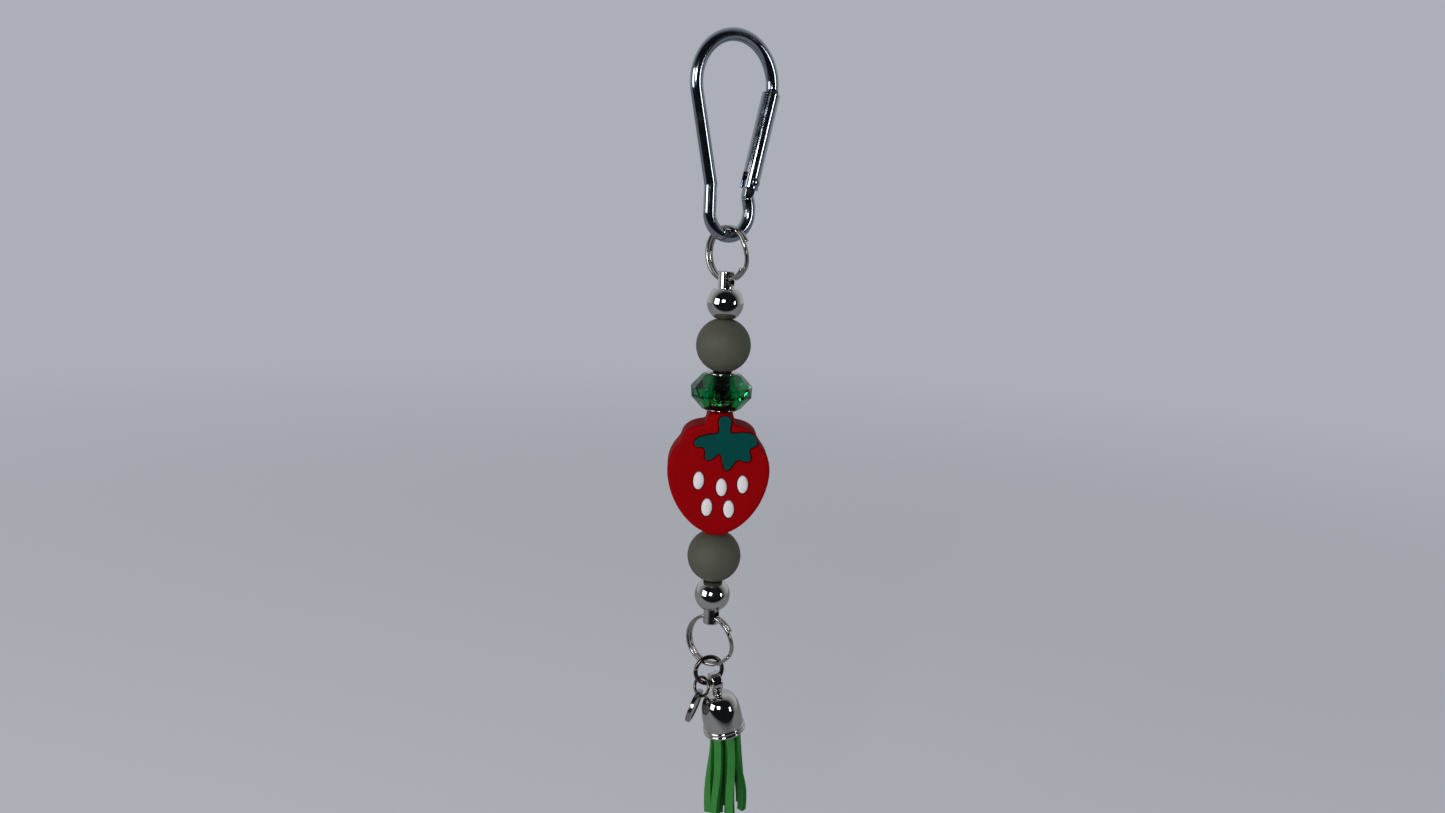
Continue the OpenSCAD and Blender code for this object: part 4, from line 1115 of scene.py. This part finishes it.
class KEYCHAIN_OT_stage(bpy.types.Operator):
    """Sets up the floor, the backdrop, the lamps and the camera"""

    bl_idname = "keychain.stage"
    bl_label = "Stage"

    def placed(self, name, data):
        """An object for a lamp or a camera."""
        thing = bpy.data.objects.new(name, data)
        bpy.context.scene.collection.objects.link(thing)
        return thing

    def mirrored(self, tree):
        """The kinds of ray, and those that come by way of metal or glass."""
        rays = add_node(tree, "LightPath")
        clear = add_node(tree, "Math", {}, {0: (rays, "Is Glossy Ray"), 1: (rays, "Is Transmission Ray")},
                         operation="MAXIMUM")
        return rays, clear

    def lay_floor(self, pale, near, dim):
        """A paper floor that fades into the backdrop."""
        down = -0.23
        floor = start("studio_floor", bpy.ops.mesh.primitive_plane_add, size=4, location=(0, 0, down))
        bpy.ops.mesh.subdivide(number_cuts=4)
        baked(floor)
        paint, tree, place = new_material("studio_paper")
        # The paper's tooth is 1.1 mm
        grain = add_node(tree, "TexNoise", {"Scale": 900.0}, {"Vector": place})
        mix = add_node(tree, "MixRGB", {"Color1": near, "Color2": shade(near, 0.97)}, {"Fac": grain})
        paper = add_node(tree, "BsdfPrincipled", {"Roughness": 0.9}, {"Base Color": mix})
        # It keeps the object's shadow near it, and fades into the backdrop from 0.25 m to 1.2 m off
        off = add_node(tree, "VectorMath", {}, {0: place}, operation="LENGTH")
        fade = add_node(tree, "MapRange", {"From Min": 0.25, "From Max": 1.2, "To Min": 0.4},
                        {"Value": (off, "Value")}, interpolation_type="SMOOTHSTEP")
        rays, clear = self.mirrored(tree)
        seen = add_node(tree, "Math", {}, {0: clear, 1: (rays, "Is Camera Ray")}, operation="MAXIMUM")
        share = add_node(tree, "Math", {}, {0: fade, 1: seen}, operation="MULTIPLY")
        glow = add_node(tree, "Emission", {"Color": pale, "Strength": 1.0})
        both = add_node(tree, "MixShader", {}, {0: share, 1: paper, 2: glow})
        # Metal and glass see it end in a dark studio, from 0.1 m to 0.17 m in front of the object
        parts = add_node(tree, "SeparateXYZ", {}, {0: place})
        front = add_node(tree, "MapRange", {"From Min": -0.1, "From Max": -0.17, "To Min": 0.4},
                         {"Value": (parts, "Y")})
        gone = add_node(tree, "Math", {}, {0: front, 1: clear}, operation="MULTIPLY")
        gloom = add_node(tree, "Emission", {"Color": dim, "Strength": 1.0})
        whole = add_node(tree, "MixShader", {}, {0: gone, 1: both, 2: gloom})
        add_node(tree, "OutputMaterial", {}, {"Surface": whole})
        floor.data.materials.append(paint)

    def hang_backdrop(self, world, pale, dim):
        """Metal and glass see the pale backdrop behind, and a dark studio on the camera's side."""
        world.use_nodes = True
        tree = world.node_tree
        tree.nodes.clear()
        parts = add_node(tree, "SeparateXYZ", {}, {0: (add_node(tree, "TexCoord"), "Generated")})
        back = add_node(tree, "MapRange", {"From Min": -1.0}, {"Value": (parts, "Y")})
        room = add_node(tree, "ValToRGB", {}, {"Fac": back})
        steps = room.color_ramp.elements
        steps[0].position, steps[0].color, steps[1].color = 0.36, dim, pale
        for position, code in ((0.47, "#7b7c80"), (0.8, "#c3c5ca")):
            steps.new(position).color = linear(code)
        rays, clear = self.mirrored(tree)
        fill = [0.25, 0.253, 0.265, 1.0]
        lit = add_node(tree, "MixRGB", {"Color1": fill}, {"Fac": clear, "Color2": room})
        mix = add_node(tree, "MixRGB", {"Color2": pale}, {"Fac": (rays, "Is Camera Ray"), "Color1": lit})
        sky = add_node(tree, "Background", {"Strength": 1.0}, {"Color": mix})
        add_node(tree, "OutputWorld", {}, {"Surface": sky})

    def execute(self, context):
        scene = context.scene
        pale, near = list(scene.keychain_colours.backdrop), list(scene.keychain_colours.floor)
        dim = linear("#17191c")
        scene.view_settings.view_transform = "Standard"
        self.lay_floor(pale, near, dim)
        scene.world = bpy.data.worlds.new("studio_world")
        self.hang_backdrop(scene.world, pale, dim)
        # Soft panel lamps: place, width and height in metres, and watts
        aim = Vector((0, 0, -0.09))
        for name, place, wide, high, watts in (("key_lamp", (-0.24, -1.0, 0.21), 0.28, 0.28, 4.2),
                                               ("window_lamp", (-0.96, -0.6, 0.13), 0.6, 0.62, 5.0),
                                               ("right_lamp", (1.0, -0.6, 0.03), 0.16, 0.28, 1.2)):
            data = bpy.data.lights.new(name, "AREA")
            data.shape, data.size, data.size_y, data.energy = "RECTANGLE", wide, high, watts
            lamp = self.placed(name, data)
            lamp.location = place
            lamp.rotation_euler = (aim - Vector(place)).to_track_quat("-Z", "Y").to_euler()
        # The photograph's camera, as fitted to the beads
        data = bpy.data.cameras.new("photo_camera")
        data.sensor_fit, data.sensor_width, data.lens, data.clip_start = "HORIZONTAL", 36.0, 28.64, 0.01
        camera = self.placed("photo_camera", data)
        ahead, up, roll = Vector((0.0364, 0.9825, -0.1825)), Vector((-0.0183, 0.1832, 0.9829)), radians(-1.15)
        basis = Matrix((ahead.cross(up), up, -ahead)).transposed().to_4x4()
        camera.matrix_world = turn(roll, "Y") @ move(-10.4 * MM, -249.5 * MM, -31.2 * MM) @ basis
        scene.camera = camera
        return {"FINISHED"}


MAKERS = (KEYCHAIN_OT_carabiner, KEYCHAIN_OT_gate, KEYCHAIN_OT_split_rings, KEYCHAIN_OT_end_balls,
          KEYCHAIN_OT_round_beads, KEYCHAIN_OT_crystal, KEYCHAIN_OT_strawberry, KEYCHAIN_OT_links,
          KEYCHAIN_OT_tag_charm, KEYCHAIN_OT_tassel_cap, KEYCHAIN_OT_suede_strips, KEYCHAIN_OT_stage)


class KEYCHAIN_PT_panel(bpy.types.Panel):
    """Lists the pieces, the colours and the sizes"""

    bl_label = "Keychain"
    bl_space_type = "VIEW_3D"
    bl_region_type = "UI"
    bl_category = "Keychain"

    def draw(self, context):
        for maker in MAKERS:
            self.layout.operator(maker.bl_idname)
        for group in (context.scene.keychain_colours, context.scene.keychain_sizes):
            for key in type(group).__annotations__:
                self.layout.prop(group, key)


CLASSES = (KeychainSizes, KeychainColours, *MAKERS, KEYCHAIN_PT_panel)


def register():
    """Registers the classes and hangs the sizes and colours on the scene."""
    for item in CLASSES:
        bpy.utils.register_class(item)
    bpy.types.Scene.keychain_sizes = bpy.props.PointerProperty(type=KeychainSizes)
    bpy.types.Scene.keychain_colours = bpy.props.PointerProperty(type=KeychainColours)


def unregister():
    """Takes all of that away again."""
    del bpy.types.Scene.keychain_colours
    del bpy.types.Scene.keychain_sizes
    for item in reversed(CLASSES):
        bpy.utils.unregister_class(item)


def main():
    """Builds every piece and the stage."""
    register()
    for maker in MAKERS:
        group, name = maker.bl_idname.split(".")
        getattr(getattr(bpy.ops, group), name)()


if __name__ == "__main__":
    main()
